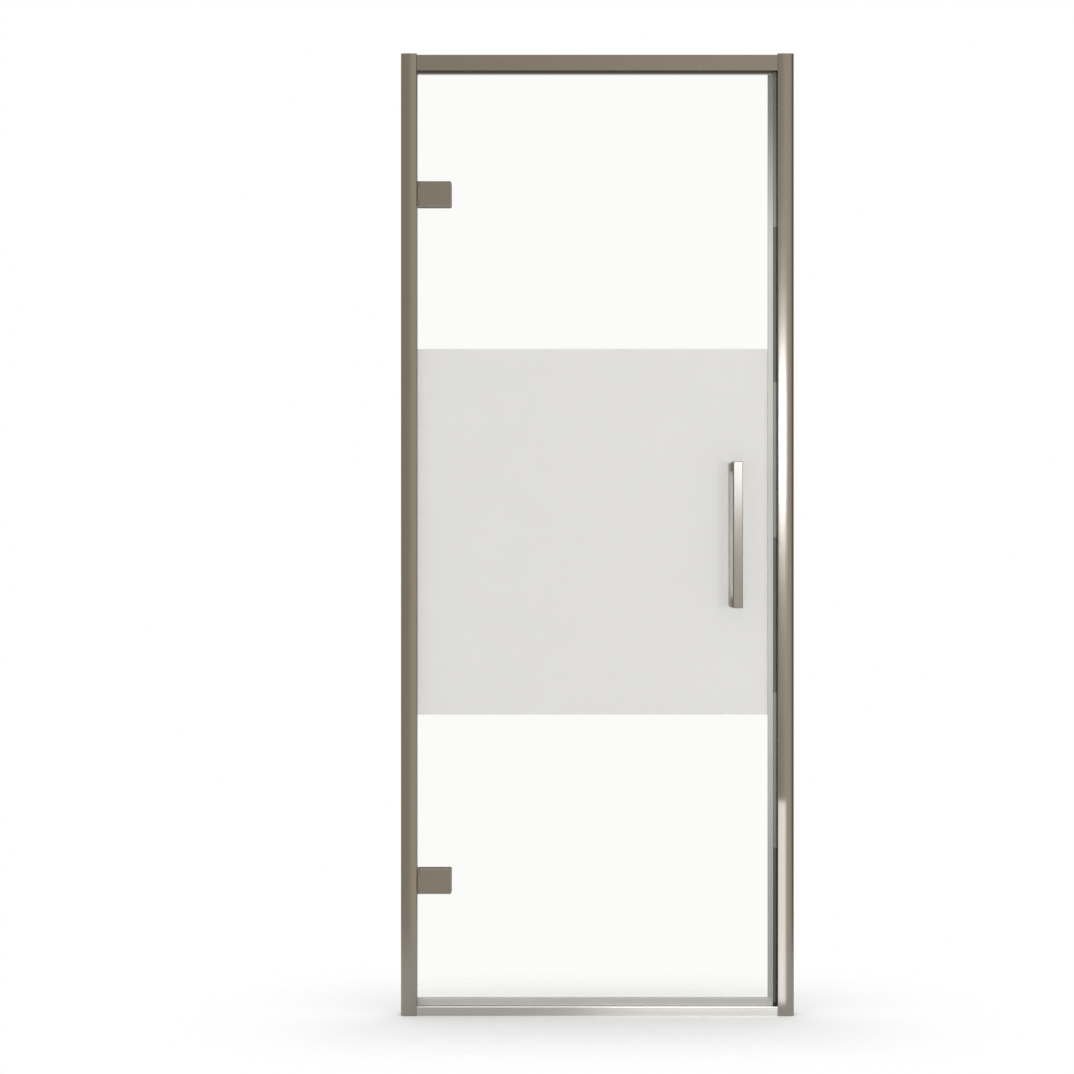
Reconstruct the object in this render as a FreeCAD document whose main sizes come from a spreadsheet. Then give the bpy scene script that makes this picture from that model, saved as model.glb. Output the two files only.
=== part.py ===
import FreeCAD, Part
import os
import re
import Sketcher

# Pivot shower door. X runs from the hinge side to the strike side, Y from outside to inside, Z up.
# The origin is the middle of the sill's underside and the door is closed.

doc = FreeCAD.newDocument("pivot_shower_door")
sheet = doc.addObject("Spreadsheet::Sheet", "Sizes")

SIZES = {
    # frame
    "frame_width": 705.6,
    "frame_height": 1727,
    "frame_depth": 30,
    "hinge_post_width": 28.5,
    "strike_post_width": 29.6,
    "post_wall": 1.6,
    "post_bow": 1.2,
    "post_lip": 5.2,
    "post_outer_radius": 5,
    "post_inner_radius": 1.5,
    "guide_width": 1.6,
    "guide_gap": 0.3,
    "cap_thickness": 1.5,
    "cap_plug_depth": 5,
    "cap_plug_gap": 5,
    "bar_setback": 2,
    "header_height": 29.3,
    "header_drop": 2,
    "header_edge": 1,
    "sill_height": 16.1,
    "sill_fall": 1,
    "sill_edge": 0.9,
    "dam_height": 24,
    "dam_thickness": 2,
    "extrusion_wall": 1.6,
    "port_radius": 3.6,
    "port_inset": 3,
    "end_screw_radius": 2,
    "end_screw_length": 25,
    "end_head_radius": 3.3,
    "end_head_height": 2.4,
    "jamb_half_width": 8.2,
    "jamb_reach": 20,
    "jamb_wall": 1.6,
    "jamb_short": 3,
    "wall_hole_radius": 2.75,
    "wall_hole_inset": 150,
    "lock_screw_radius": 2,
    "lock_screw_reach": 14,
    "lock_screw_inset": 290,
    "lock_screw_offset": 60,
    "lock_head_radius": 3.6,
    "lock_head_height": 1.6,
    "screw_slot": 0.5,
    "slot_share": 0.5,
    "socket_share": 0.7,
    "screw_play": 0.3,
    # glass
    "glass_thickness": 6,
    "glass_hinge_gap": 0.5,
    "hinge_notch_gap": 0.6,
    "glass_strike_gap": 11.3,
    "glass_bottom": 23,
    "glass_top_gap": 4,
    "glass_corner": 3,
    "frost_bottom": 539.6,
    "frost_top": 1198,
    "frost_depth": 0.2,
    # hinges
    "hinge_low": 241.4,
    "hinge_drop": 251.7,
    "hinge_reach": 62.1,
    "hinge_height": 45.2,
    "hinge_corner": 3,
    "hinge_edge": 0.8,
    "plate_thickness": 10,
    "gasket_thickness": 1,
    "gasket_inset": 0.6,
    "knuckle_radius": 3,
    "knuckle_gap": 0.35,
    "knuckle_play": 0.35,
    "knuckle_height": 10.5,
    "pin_radius": 1.5,
    "pin_play": 0.05,
    "bush_radius": 2.2,
    "bush_length": 9,
    "flange_radius": 2.8,
    "flange_thickness": 0.5,
    "flange_gap": 0.1,
    "leaf_thickness": 2.5,
    "leaf_back": 12,
    "leaf_screw_radius": 2.1,
    "leaf_screw_spacing": 12,
    "leaf_screw_place": 4,
    "nut_plate_thickness": 4,
    "nut_plate_width": 16,
    "clamp_screw_radius": 3,
    "clamp_head_radius": 5.5,
    "clamp_head_height": 3,
    "clamp_screw_near": 22,
    "clamp_screw_pitch": 26,
    "clamp_screw_tip": 10.5,
    "clamp_hole_radius": 6,
    "clamp_socket_radius": 2.3,
    "leaf_socket_radius": 1.5,
    "hole_spare": 0.5,
    "pin_short": 0.2,
    # handles
    "handle_place": 249,
    "handle_bottom": 732.8,
    "handle_length": 261,
    "handle_bar": 16.7,
    "handle_reach": 52.5,
    "handle_edge": 0.8,
    "washer_side": 15.2,
    "washer_thickness": 1,
    "stud_radius": 3,
    "stud_reach": 20,
    "handle_hole_radius": 5,
    "set_screw_radius": 2,
    "set_screw_place": 12,
    "set_screw_short": 0.3,
    "set_socket_radius": 1.1,
    "set_socket_depth": 1.5,
    # seals and magnets
    "seal_wall": 0.8,
    "seal_leg": 5,
    "seal_half_width": 5.2,
    "seal_depth": 4,
    "seal_shoulder": 1,
    "chamber_play": 0.2,
    "magnet_thickness": 2,
    "magnet_width": 8.4,
    "magnet_gap": 0.5,
    "profile_standoff": 1.8,
    "magnet_count": 6,
    "magnet_joint": 0.6,
    "groove_half_width": 2.2,
    "foot_half_width": 3.5,
    "foot_depth": 1.5,
    "slot_play": 0.2,
    "slot_wall": 1.2,
    "block_height": 6,
    "block_half_width": 7,
    "sweep_top": 30.3,
    "sweep_wall": 1.2,
    "sweep_fin_wall": 0.8,
    "sweep_fin_bottom": 17.6,
    "sweep_fin_splay": 1.4,
    "seal_end_gap": 0.5,
}
for row, (alias, size) in enumerate(SIZES.items(), 1):
    sheet.set("A%d" % row, alias)
    sheet.set("B%d" % row, str(size))
    sheet.setAlias("B%d" % row, alias)
doc.recompute()


def bound(expression):
    """The expression with each size name pointing at the spreadsheet."""
    return re.sub(r"\b[a-z][a-z_]+\b(?!\()", lambda word: "Sizes." + word.group(), str(expression))


def value(expression):
    return float(sheet.evalExpression(bound(expression)))


def drive(thing, **properties):
    """Bind properties to expressions. A double underscore in a name stands for a dot."""
    for name, expression in properties.items():
        thing.setExpression(name.replace("__", "."), bound(expression))


def place(thing, x=0, y=0, z=0):
    drive(thing, Placement__Base__x=x, Placement__Base__y=y, Placement__Base__z=z)


def new_body(name):
    body = doc.addObject("PartDesign::Body", name)
    body.Label = name
    return body


def backwards(corner):
    """Arcs run anticlockwise, so one that bulges left is drawn from its far end."""
    return len(corner) == 4 and corner[3] < 0


def outline(body, plane, loops, level=0):
    """A sketch of closed loops. A corner is (x, y), or (x, y, radius, side) where an arc leads on.

    Side 1 bulges right of the way on, -1 left of it; 2 and -2 take the long way round.
    """
    sketch = body.newObject("Sketcher::SketchObject", body.Name + "_sketch")
    support = [f for f in body.Origin.OriginFeatures if f.Role == plane][0]
    sketch.AttachmentSupport = [(support, "")]
    sketch.MapMode = "FlatFace"
    drive(sketch, AttachmentOffset__Base__z=level)
    for loop in loops:
        first = sketch.GeometryCount
        spots = [FreeCAD.Vector(value(c[0]), value(c[1]), 0) for c in loop]
        for i, corner in enumerate(loop):
            start, end = spots[i], spots[(i + 1) % len(loop)]
            if len(corner) == 2:
                sketch.addGeometry(Part.LineSegment(start, end), False)
                continue
            radius, side = value(corner[2]), corner[3]
            way = end - start
            across = FreeCAD.Vector(way.y, -way.x, 0).normalize() * (1 if side > 0 else -1)
            rise = (radius**2 - (way.Length / 2) ** 2) ** 0.5
            sagitta = radius + rise if abs(side) == 2 else radius - rise
            middle = (start + end) / 2 + across * sagitta
            ends = (start, end) if side > 0 else (end, start)
            sketch.addGeometry(Part.Arc(ends[0], middle, ends[1]), False)
        for i, corner in enumerate(loop):
            one, after = first + i, first + (i + 1) % len(loop)
            begin, finish = (2, 1) if backwards(corner) else (1, 2)
            joined = 2 if backwards(loop[(i + 1) % len(loop)]) else 1
            sketch.addConstraint(Sketcher.Constraint("Coincident", one, finish, after, joined))
            for kind, axis in (("DistanceX", 0), ("DistanceY", 1)):
                spot = spots[i][axis]
                number = sketch.addConstraint(Sketcher.Constraint(kind, -1, 1, one, begin, spot))
                sketch.setExpression("Constraints[%d]" % number, bound(corner[axis]))
            if len(corner) == 4:
                number = sketch.addConstraint(Sketcher.Constraint("Radius", one, value(corner[2])))
                sketch.setExpression("Constraints[%d]" % number, bound(corner[2]))
    return sketch


def extrude(body, plane, loops, length, level=0):
    """Pad a sketch along its plane's normal: +Z for XY, -Y for XZ, +X for YZ."""
    pad = body.newObject("PartDesign::Pad", body.Name + "_pad")
    pad.Profile = outline(body, plane + "_Plane", loops, level)
    drive(pad, Length=length)
    body.Tip = pad
    doc.recompute()
    return pad


TURNS = {
    "X": FreeCAD.Rotation(FreeCAD.Vector(0, 1, 0), 90),
    "Y": FreeCAD.Rotation(FreeCAD.Vector(1, 0, 0), -90),
    "Z": FreeCAD.Rotation(),
    "-X": FreeCAD.Rotation(FreeCAD.Vector(0, 1, 0), -90),
    "-Y": FreeCAD.Rotation(FreeCAD.Vector(1, 0, 0), 90),
    "-Z": FreeCAD.Rotation(FreeCAD.Vector(1, 0, 0), 180),
}


def primitive(body, kind, at, way="Z", **sizes):
    """A PartDesign primitive of the body, such as SubtractiveCylinder, with its base at a point."""
    feature = body.newObject("PartDesign::" + kind, body.Name + "_" + kind)
    feature.Placement = FreeCAD.Placement(FreeCAD.Vector(), TURNS[way])
    place(feature, *at)
    drive(feature, **sizes)
    body.Tip = feature
    return feature


def box(body, kind, low, high):
    sides = ["(%s) - (%s)" % (b, a) for a, b in zip(low, high)]
    return primitive(body, kind + "Box", low, Length=sides[0], Width=sides[1], Height=sides[2])


def rod(body, kind, at, way, radius, height):
    return primitive(body, kind + "Cylinder", at, way, Radius=radius, Height=height)


def soften(body, kind, size, wanted):
    """Fillet or chamfer the body's edges that answer to wanted."""
    doc.recompute()
    base = body.Tip
    names = ["Edge%d" % i for i, edge in enumerate(base.Shape.Edges, 1) if wanted(edge)]
    feature = body.newObject("PartDesign::" + kind, body.Name + "_" + kind)
    feature.Base = (base, names)
    drive(feature, **{"Radius" if kind == "Fillet" else "Size": size})
    body.Tip = feature
    doc.recompute()


def upright(*corners):
    """Picks the vertical edges that stand on the given plan corners."""
    spots = [(value(x), value(y)) for x, y in corners]

    def wanted(edge):
        ends = [vertex.Point for vertex in edge.Vertexes]
        if len(ends) != 2 or abs(ends[0].x - ends[1].x) + abs(ends[0].y - ends[1].y) > 1e-5:
            return False
        return any(abs(ends[0].x - x) + abs(ends[0].y - y) < 1e-3 for x, y in spots)

    return wanted


def group(name, original, spots):
    """Copies of one piece as separate solids of one node. A spot is (x, y, z, rotation)."""
    original.Label = name + "_original"
    copies = []
    for x, y, z, turn in spots:
        copy = doc.addObject("App::Link", name + "_copy")
        copy.LinkedObject = original
        copy.LinkPlacement = FreeCAD.Placement(FreeCAD.Vector(), TURNS[turn])
        drive(copy, LinkPlacement__Base__x=x, LinkPlacement__Base__y=y, LinkPlacement__Base__z=z)
        copies.append(copy)
    gathered = doc.addObject("Part::Compound", name)
    gathered.Links = copies
    gathered.Label = name
    nodes.append(gathered)


nodes = []
TOUCH = 1e-4

# Shared places.
HINGE_WALL = "-frame_width / 2"
STRIKE_WALL = "frame_width / 2"
HINGE_FACE = "(hinge_post_width - frame_width / 2)"
STRIKE_FACE = "(frame_width / 2 - strike_post_width)"
POST_TOP = "(frame_height - cap_thickness)"
FRONT_EDGE = "(frame_depth / 2 - post_bow)"
BAR_FACE = "(frame_depth / 2 - bar_setback)"
HEADER_TOP = "(frame_height - header_drop)"
HEADER_BOTTOM = "(frame_height - header_drop - header_height)"
GLASS_LEFT = "(hinge_post_width - frame_width / 2 + glass_hinge_gap)"
GLASS_RIGHT = "(frame_width / 2 - strike_post_width - glass_strike_gap)"
GLASS_TOP = "(frame_height - header_drop - header_height - glass_top_gap)"
GLASS_FACE = "(glass_thickness / 2)"
HINGES = {"upper": "(frame_height - hinge_drop)", "lower": "hinge_low"}


# Posts: bowed extrusions, open towards the wall, with ribs that guide the wall jamb.
def post(name, side, width):
    wall, door = (HINGE_WALL, HINGE_FACE) if side == 1 else (STRIKE_WALL, STRIKE_FACE)
    sign = "+" if side == 1 else "-"

    def across(reach):
        return "%s %s (%s)" % (wall, sign, reach)

    bow = "((%s / 2) ^ 2 + post_bow ^ 2) / (2 * post_bow)" % width
    inner_bow = "((%s / 2 - post_wall) ^ 2 + post_bow ^ 2) / (2 * post_bow)" % width
    back = "frame_depth / 2"
    loop = [
        (wall, "-" + FRONT_EDGE, bow, side),
        (door, "-" + FRONT_EDGE),
        (door, back),
        (wall, back),
        (wall, back + " - post_lip"),
        (across("post_wall"), back + " - post_lip"),
        (across("post_wall"), back + " - post_wall"),
        (across(width + " - post_wall"), back + " - post_wall"),
        (across(width + " - post_wall"), "post_wall - " + FRONT_EDGE, inner_bow, -side),
        (across("post_wall"), "post_wall - " + FRONT_EDGE),
        (across("post_wall"), "post_lip - " + FRONT_EDGE),
        (wall, "post_lip - " + FRONT_EDGE),
    ]
    body = new_body(name)
    extrude(body, "XY", [loop], POST_TOP)
    soften(body, "Fillet", "post_outer_radius", upright((wall, "-" + FRONT_EDGE)))
    soften(body, "Fillet", "post_inner_radius", upright((door, "-" + FRONT_EDGE)))
    soften(body, "Fillet", "post_wall / 2", upright((door, back), (wall, back)))
    edge = "(jamb_half_width + guide_gap)"
    for reach in ("jamb_reach / 2 - guide_width", "jamb_reach - guide_width"):
        ends = [across(reach), across(reach + " + guide_width")]
        low, high = sorted(ends, key=value)
        box(body, "Additive", (low, "post_wall * 0.75 - frame_depth / 2", 0), (high, "-" + edge, POST_TOP))
        box(body, "Additive", (low, edge, 0), (high, "frame_depth / 2 - post_wall / 2", POST_TOP))
    nodes.append(body)
    return body, across


def cap(name, side, width):
    wall, door = (HINGE_WALL, HINGE_FACE) if side == 1 else (STRIKE_WALL, STRIKE_FACE)
    bow = "((%s / 2) ^ 2 + post_bow ^ 2) / (2 * post_bow)" % width
    back = "frame_depth / 2"
    loop = [(wall, "-" + FRONT_EDGE, bow, side), (door, "-" + FRONT_EDGE), (door, back), (wall, back)]
    body = new_body(name)
    extrude(body, "XY", [loop], "cap_thickness", POST_TOP)
    soften(body, "Fillet", "post_outer_radius", upright((wall, "-" + FRONT_EDGE)))
    soften(body, "Fillet", "post_inner_radius", upright((door, "-" + FRONT_EDGE)))
    soften(body, "Fillet", "post_wall / 2", upright((door, back), (wall, back)))
    sign = "+" if side == 1 else "-"
    ends = [
        "%s %s (jamb_reach + post_wall)" % (wall, sign),
        "%s %s (%s - post_wall - guide_gap)" % (wall, sign, width),
    ]
    low, high = sorted(ends, key=value)
    for inner, outer in (("cap_plug_gap", "jamb_half_width"), ("-jamb_half_width", "-cap_plug_gap")):
        box(body, "Additive", (low, inner, POST_TOP + " - cap_plug_depth"), (high, outer, POST_TOP))
    nodes.append(body)


# Wall jambs: channels screwed to the walls, inside the posts.
def jamb(name, side):
    wall = HINGE_WALL if side == 1 else STRIKE_WALL
    sign = "+" if side == 1 else "-"
    near, far = "%s %s jamb_wall" % (wall, sign), "%s %s jamb_reach" % (wall, sign)
    edge, inside = "jamb_half_width", "(jamb_half_width - jamb_wall)"
    loop = [(wall, "-" + edge), (far, "-" + edge), (far, "-" + inside), (near, "-" + inside)]
    loop += [(near, inside), (far, inside), (far, edge), (wall, edge)]
    body = new_body(name)
    extrude(body, "XY", [loop], POST_TOP + " - jamb_short")
    way = "X" if side == 1 else "-X"
    for height in WALL_HOLES:
        rod(body, "Subtractive", (wall, 0, height), way, "wall_hole_radius", "jamb_wall")
    for height in LOCK_SCREWS:
        at = ("%s %s lock_screw_reach" % (wall, sign), inside, height)
        rod(body, "Subtractive", at, "Y", "lock_screw_radius", "jamb_wall")
    nodes.append(body)


WALL_HOLES = ("wall_hole_inset", "frame_height / 2", "frame_height - wall_hole_inset")
LOCK_SCREWS = ("lock_screw_inset", "frame_height / 2 + lock_screw_offset", "frame_height - lock_screw_inset")
PORT_PLACE = "(%s - extrusion_wall - port_inset)" % BAR_FACE
HEADER_PORTS = [(y, HEADER_BOTTOM + " + header_height / 2") for y in ("-" + PORT_PLACE, PORT_PLACE)]
SILL_PORTS = [(y, "sill_height / 2") for y in ("-" + PORT_PLACE, PORT_PLACE)]

jamb("hinge_side_wall_jamb", 1)
jamb("strike_side_wall_jamb", -1)
hinge_post, hinge_across = post("hinge_post", 1, "hinge_post_width")
strike_post, strike_across = post("strike_post", -1, "strike_post_width")
cap("hinge_post_cap", 1, "hinge_post_width")
cap("strike_post_cap", -1, "strike_post_width")

for body, across, face, way in (
    (hinge_post, hinge_across, HINGE_FACE, "-X"),
    (strike_post, strike_across, STRIKE_FACE, "X"),
):
    for y, z in HEADER_PORTS + SILL_PORTS:
        rod(body, "Subtractive", (face, y, z), way, "end_screw_radius + screw_play", "post_wall")
    for height in LOCK_SCREWS:
        at = (across("lock_screw_reach"), "frame_depth / 2", height)
        rod(body, "Subtractive", at, "-Y", "lock_screw_radius + screw_play", "post_wall")

LEAF_SCREWS = ("-leaf_screw_spacing", "leaf_screw_spacing")
for level in HINGES.values():
    for offset in LEAF_SCREWS:
        at = (HINGE_FACE, "leaf_screw_place", "%s + %s" % (level, offset))
        rod(hinge_post, "Subtractive", at, "-X", "leaf_screw_radius + screw_play", "post_wall")

# The strike post's groove, a T-slot that the magnet profile snaps into.
slot_half = "(foot_half_width + slot_play)"
slot_back = "(%s + post_wall + foot_depth + slot_play)" % STRIKE_FACE
box(
    strike_post,
    "Additive",
    (STRIKE_FACE + " + post_wall / 2", "-%s - slot_wall" % slot_half, 0),
    (slot_back + " + slot_wall", slot_half + " + slot_wall", POST_TOP),
)
box(
    strike_post,
    "Subtractive",
    (STRIKE_FACE + " + post_wall", "-" + slot_half, 0),
    (slot_back, slot_half, POST_TOP),
)
box(
    strike_post,
    "Subtractive",
    (STRIKE_FACE, "-groove_half_width", 0),
    (STRIKE_FACE + " + post_wall", "groove_half_width", POST_TOP),
)


# Header and sill: hollow extrusions between the posts, with screw ports along them.
def crossbar(name, loops, ports):
    body = new_body(name)
    length = "%s - %s" % (STRIKE_FACE, HINGE_FACE)
    extrude(body, "YZ", loops, length, HINGE_FACE)
    for y, z in ports:
        rod(body, "Additive", (HINGE_FACE, y, z), "X", "port_radius", length)
    for y, z in ports:
        rod(body, "Subtractive", (HINGE_FACE, y, z), "X", "end_screw_radius", length)
    nodes.append(body)
    return body


def rectangle(left, bottom, right, top):
    return [(left, bottom), (right, bottom), (right, top), (left, top)]


hollow = "(%s - extrusion_wall)" % BAR_FACE
ceiling = "%s - extrusion_wall" % HEADER_TOP
header = crossbar(
    "header",
    [
        rectangle("-" + BAR_FACE, HEADER_BOTTOM, BAR_FACE, HEADER_TOP),
        rectangle("-" + hollow, HEADER_BOTTOM + " + extrusion_wall", hollow, ceiling),
    ],
    HEADER_PORTS,
)
dam = "(%s - dam_thickness)" % BAR_FACE
sill = crossbar(
    "sill",
    [
        [
            ("-" + BAR_FACE, 0),
            (BAR_FACE, 0),
            (BAR_FACE, "dam_height"),
            (dam, "dam_height"),
            (dam, "sill_height - sill_fall"),
            ("-" + BAR_FACE, "sill_height"),
        ],
        rectangle("-" + hollow, "extrusion_wall", hollow, "sill_height - sill_fall - extrusion_wall"),
    ],
    SILL_PORTS,
)


def long_edge(y, z):
    def wanted(edge):
        ends = [vertex.Point for vertex in edge.Vertexes]
        return len(ends) == 2 and all(abs(p.y - value(y)) + abs(p.z - value(z)) < 1e-3 for p in ends)

    return wanted


def either(*tests):
    return lambda edge: any(test(edge) for test in tests)


front = "-" + BAR_FACE
header_edges = either(long_edge(front, HEADER_BOTTOM), long_edge(front, HEADER_TOP))
sill_edges = either(long_edge(front, "sill_height"), long_edge(BAR_FACE, "dam_height"))
soften(header, "Fillet", "header_edge", header_edges)
soften(sill, "Fillet", "sill_edge", sill_edges)


# Screws. Each points along +Z with its head's top at the origin, and is drawn from its sizes.
def pan_screw(name, radius, length, head_radius, head_height):
    body = new_body(name)
    rod(body, "Additive", (0, 0, 0), "Z", radius, length)
    top = "-" + head_height
    rod(body, "Additive", (0, 0, top), "Z", head_radius, head_height)
    low = ("-screw_slot", "-" + head_radius, top)
    box(body, "Subtractive", low, ("screw_slot", head_radius, "-%s * (1 - slot_share)" % head_height))
    return body


def flush_screw(name, radius, length, head_radius, head_height, socket):
    body = new_body(name)
    rod(body, "Additive", (0, 0, 0), "Z", radius, length)
    primitive(body, "AdditiveCone", (0, 0, 0), Radius1=head_radius, Radius2=radius, Height=head_height)
    depth = head_height + " * socket_share"
    primitive(body, "SubtractivePrism", (0, 0, 0), Circumradius=socket, Height=depth)
    return body


end_screw = pan_screw(
    "end_screw",
    "end_screw_radius",
    "end_screw_length",
    "end_head_radius",
    "end_head_height",
)
lock_screw = pan_screw(
    "lock_screw",
    "lock_screw_radius",
    "frame_depth / 2 - jamb_half_width + jamb_wall + hole_spare",
    "lock_head_radius",
    "lock_head_height",
)
group(
    "header_screws",
    end_screw,
    [(HINGE_FACE + " - post_wall", y, z, "X") for y, z in HEADER_PORTS]
    + [(STRIKE_FACE + " + post_wall", y, z, "-X") for y, z in HEADER_PORTS],
)
group(
    "sill_screws",
    end_screw,
    [(HINGE_FACE + " - post_wall", y, z, "X") for y, z in SILL_PORTS]
    + [(STRIKE_FACE + " + post_wall", y, z, "-X") for y, z in SILL_PORTS],
)
group(
    "jamb_lock_screws",
    lock_screw,
    [(hinge_across("lock_screw_reach"), "frame_depth / 2", z, "-Y") for z in LOCK_SCREWS]
    + [(strike_across("lock_screw_reach"), "frame_depth / 2", z, "-Y") for z in LOCK_SCREWS],
)

# Door glass with its etched band, which lies flush in the inner face.
glass = new_body("door_glass")
extrude(
    glass,
    "XZ",
    [rectangle(GLASS_LEFT, "glass_bottom", GLASS_RIGHT, GLASS_TOP)],
    "glass_thickness",
    "-" + GLASS_FACE,
)


def cross_edge(edge):
    ends = [vertex.Point for vertex in edge.Vertexes]
    return len(ends) == 2 and abs(ends[0].x - ends[1].x) + abs(ends[0].z - ends[1].z) < 1e-5


soften(glass, "Fillet", "glass_corner", cross_edge)
NOTCH = "(hinge_height / 2 + hinge_notch_gap)"
for z in HINGES.values():
    box(
        glass,
        "Subtractive",
        (GLASS_LEFT, "-" + GLASS_FACE, "%s - %s" % (z, NOTCH)),
        ("%s + leaf_thickness + hinge_notch_gap" % HINGE_FACE, GLASS_FACE, "%s + %s" % (z, NOTCH)),
    )
box(
    glass,
    "Subtractive",
    (GLASS_LEFT, GLASS_FACE + " - frost_depth", "frost_bottom"),
    (GLASS_RIGHT, GLASS_FACE, "frost_top"),
)
CLAMP_SCREWS = [
    "(%s + clamp_screw_near)" % HINGE_FACE,
    "(%s + clamp_screw_near + clamp_screw_pitch)" % HINGE_FACE,
]
HANDLE_LEGS = ("(handle_bottom + handle_bar / 2)", "(handle_bottom + handle_length - handle_bar / 2)")
for x in CLAMP_SCREWS:
    for z in HINGES.values():
        rod(glass, "Subtractive", (x, "-" + GLASS_FACE, z), "Y", "clamp_hole_radius", "glass_thickness")
for z in HANDLE_LEGS:
    at = ("handle_place", "-" + GLASS_FACE, z)
    rod(glass, "Subtractive", at, "Y", "handle_hole_radius", "glass_thickness")
nodes.append(glass)

band = new_body("frosted_band")
box(
    band,
    "Additive",
    (GLASS_LEFT, GLASS_FACE + " - frost_depth", "frost_bottom"),
    (GLASS_RIGHT, GLASS_FACE, "frost_top"),
)
for z in HANDLE_LEGS:
    at = ("handle_place", GLASS_FACE + " - frost_depth", z)
    rod(band, "Subtractive", at, "Y", "handle_hole_radius", "frost_depth")
nodes.append(band)

# Hinges. The pin stands at the post's inner edge, in line with the clamp's front face, so the clamp
# turns clear of the post when the door swings out. The leaf and its two knuckles stay with the post.
PIN_X = "(%s + knuckle_gap + knuckle_radius)" % HINGE_FACE
CLAMP_OUT = "(glass_thickness / 2 + gasket_thickness + plate_thickness)"
CLAMP_IN = "(glass_thickness / 2 + gasket_thickness)"
PIN_Y = "(knuckle_radius - %s)" % CLAMP_OUT
CLAMP_LEFT = "(%s + leaf_thickness + knuckle_play)" % HINGE_FACE
CLAMP_RIGHT = "(%s + hinge_reach)" % HINGE_FACE
BARREL = "(hinge_height / 2 - knuckle_height - flange_thickness - flange_gap)"
HALF = "(hinge_height / 2)"


def rounded_end(body, right):
    """Round the two corners of a plate at its door end."""
    x = value(right)

    def wanted(edge):
        ends = [vertex.Point for vertex in edge.Vertexes]
        if len(ends) != 2 or abs(ends[0].x - ends[1].x) + abs(ends[0].z - ends[1].z) > 1e-5:
            return False
        return abs(ends[0].x - x) < 1e-3

    soften(body, "Fillet", "hinge_corner", wanted)


def face_edges(y):
    """The outline of a plate's outer face, without its short end by the post."""
    level = value(y)
    left = value(CLAMP_LEFT + " + hinge_corner")

    def wanted(edge):
        return abs(edge.CenterOfMass.y - level) < TOUCH and edge.CenterOfMass.x > left

    return wanted


for end, level in HINGES.items():
    bottom = "(%s - %s)" % (level, HALF)
    top = "(%s + %s)" % (level, HALF)

    leaf = new_body("hinge_leaf_" + end)
    rise = "sqrt(knuckle_radius ^ 2 - (knuckle_gap + knuckle_radius - leaf_thickness) ^ 2)"
    loop = [
        (HINGE_FACE, "leaf_back"),
        (HINGE_FACE, PIN_Y),
        (HINGE_FACE + " + knuckle_gap", PIN_Y, "knuckle_radius", 2),
        (HINGE_FACE + " + leaf_thickness", "%s + %s" % (PIN_Y, rise)),
        (HINGE_FACE + " + leaf_thickness", "leaf_back"),
    ]
    extrude(leaf, "XY", [loop], "hinge_height", bottom)
    clear = "(%s + flange_thickness + flange_gap)" % BARREL
    box(
        leaf,
        "Subtractive",
        (HINGE_FACE, "-" + CLAMP_OUT, "%s - %s" % (level, clear)),
        (PIN_X + " + knuckle_radius", PIN_Y + " + knuckle_radius + knuckle_play", "%s + %s" % (level, clear)),
    )
    rod(leaf, "Subtractive", (PIN_X, PIN_Y, bottom), "Z", "pin_radius", "hinge_height")
    for offset in LEAF_SCREWS:
        at = (HINGE_FACE, "leaf_screw_place", "%s + %s" % (level, offset))
        rod(leaf, "Subtractive", at, "X", "leaf_screw_radius", "leaf_thickness")
        at = (HINGE_FACE + " + leaf_thickness", "leaf_screw_place", "%s + %s" % (level, offset))
        primitive(
            leaf,
            "SubtractiveCone",
            at,
            "-X",
            Radius1="leaf_screw_radius * 2",
            Radius2="leaf_screw_radius",
            Height="leaf_screw_radius",
        )
    nodes.append(leaf)

    plate = new_body("hinge_front_plate_" + end)
    rise = "sqrt(knuckle_radius ^ 2 - (knuckle_gap + knuckle_radius - leaf_thickness - knuckle_play) ^ 2)"
    loop = [
        (PIN_X, "-" + CLAMP_OUT),
        (CLAMP_RIGHT, "-" + CLAMP_OUT),
        (CLAMP_RIGHT, "-" + CLAMP_IN),
        (CLAMP_LEFT, "-" + CLAMP_IN),
        (CLAMP_LEFT, "%s + %s" % (PIN_Y, rise), "knuckle_radius", 1),
    ]
    extrude(plate, "XY", [loop], "hinge_height", bottom)
    rounded_end(plate, CLAMP_RIGHT)
    soften(plate, "Chamfer", "hinge_edge", face_edges("-" + CLAMP_OUT))
    for low, high in ((bottom, "%s - %s" % (level, BARREL)), ("%s + %s" % (level, BARREL), top)):
        recess = "knuckle_radius + knuckle_play"
        rod(plate, "Subtractive", (PIN_X, PIN_Y, low), "Z", recess, "%s - %s" % (high, low))
    rod(plate, "Subtractive", (PIN_X, PIN_Y, bottom), "Z", "bush_radius", "hinge_height")
    for x in CLAMP_SCREWS:
        depth = "clamp_screw_tip + hole_spare - " + CLAMP_IN
        rod(plate, "Subtractive", (x, "-" + CLAMP_IN, level), "-Y", "clamp_screw_radius", depth)
    nodes.append(plate)

    back_plate = new_body("hinge_back_plate_" + end)
    extrude(
        back_plate,
        "XZ",
        [rectangle(CLAMP_LEFT, bottom, CLAMP_RIGHT, top)],
        "plate_thickness",
        "-" + CLAMP_OUT,
    )
    rounded_end(back_plate, CLAMP_RIGHT)
    soften(back_plate, "Chamfer", "hinge_edge", face_edges(CLAMP_OUT))
    for x in CLAMP_SCREWS:
        at = (x, CLAMP_IN, level)
        rod(back_plate, "Subtractive", at, "Y", "clamp_screw_radius + screw_play", "plate_thickness")
        primitive(
            back_plate,
            "SubtractiveCone",
            (x, CLAMP_OUT, level),
            "-Y",
            Radius1="clamp_head_radius",
            Radius2="clamp_screw_radius",
            Height="clamp_head_height",
        )
    nodes.append(back_plate)

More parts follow.
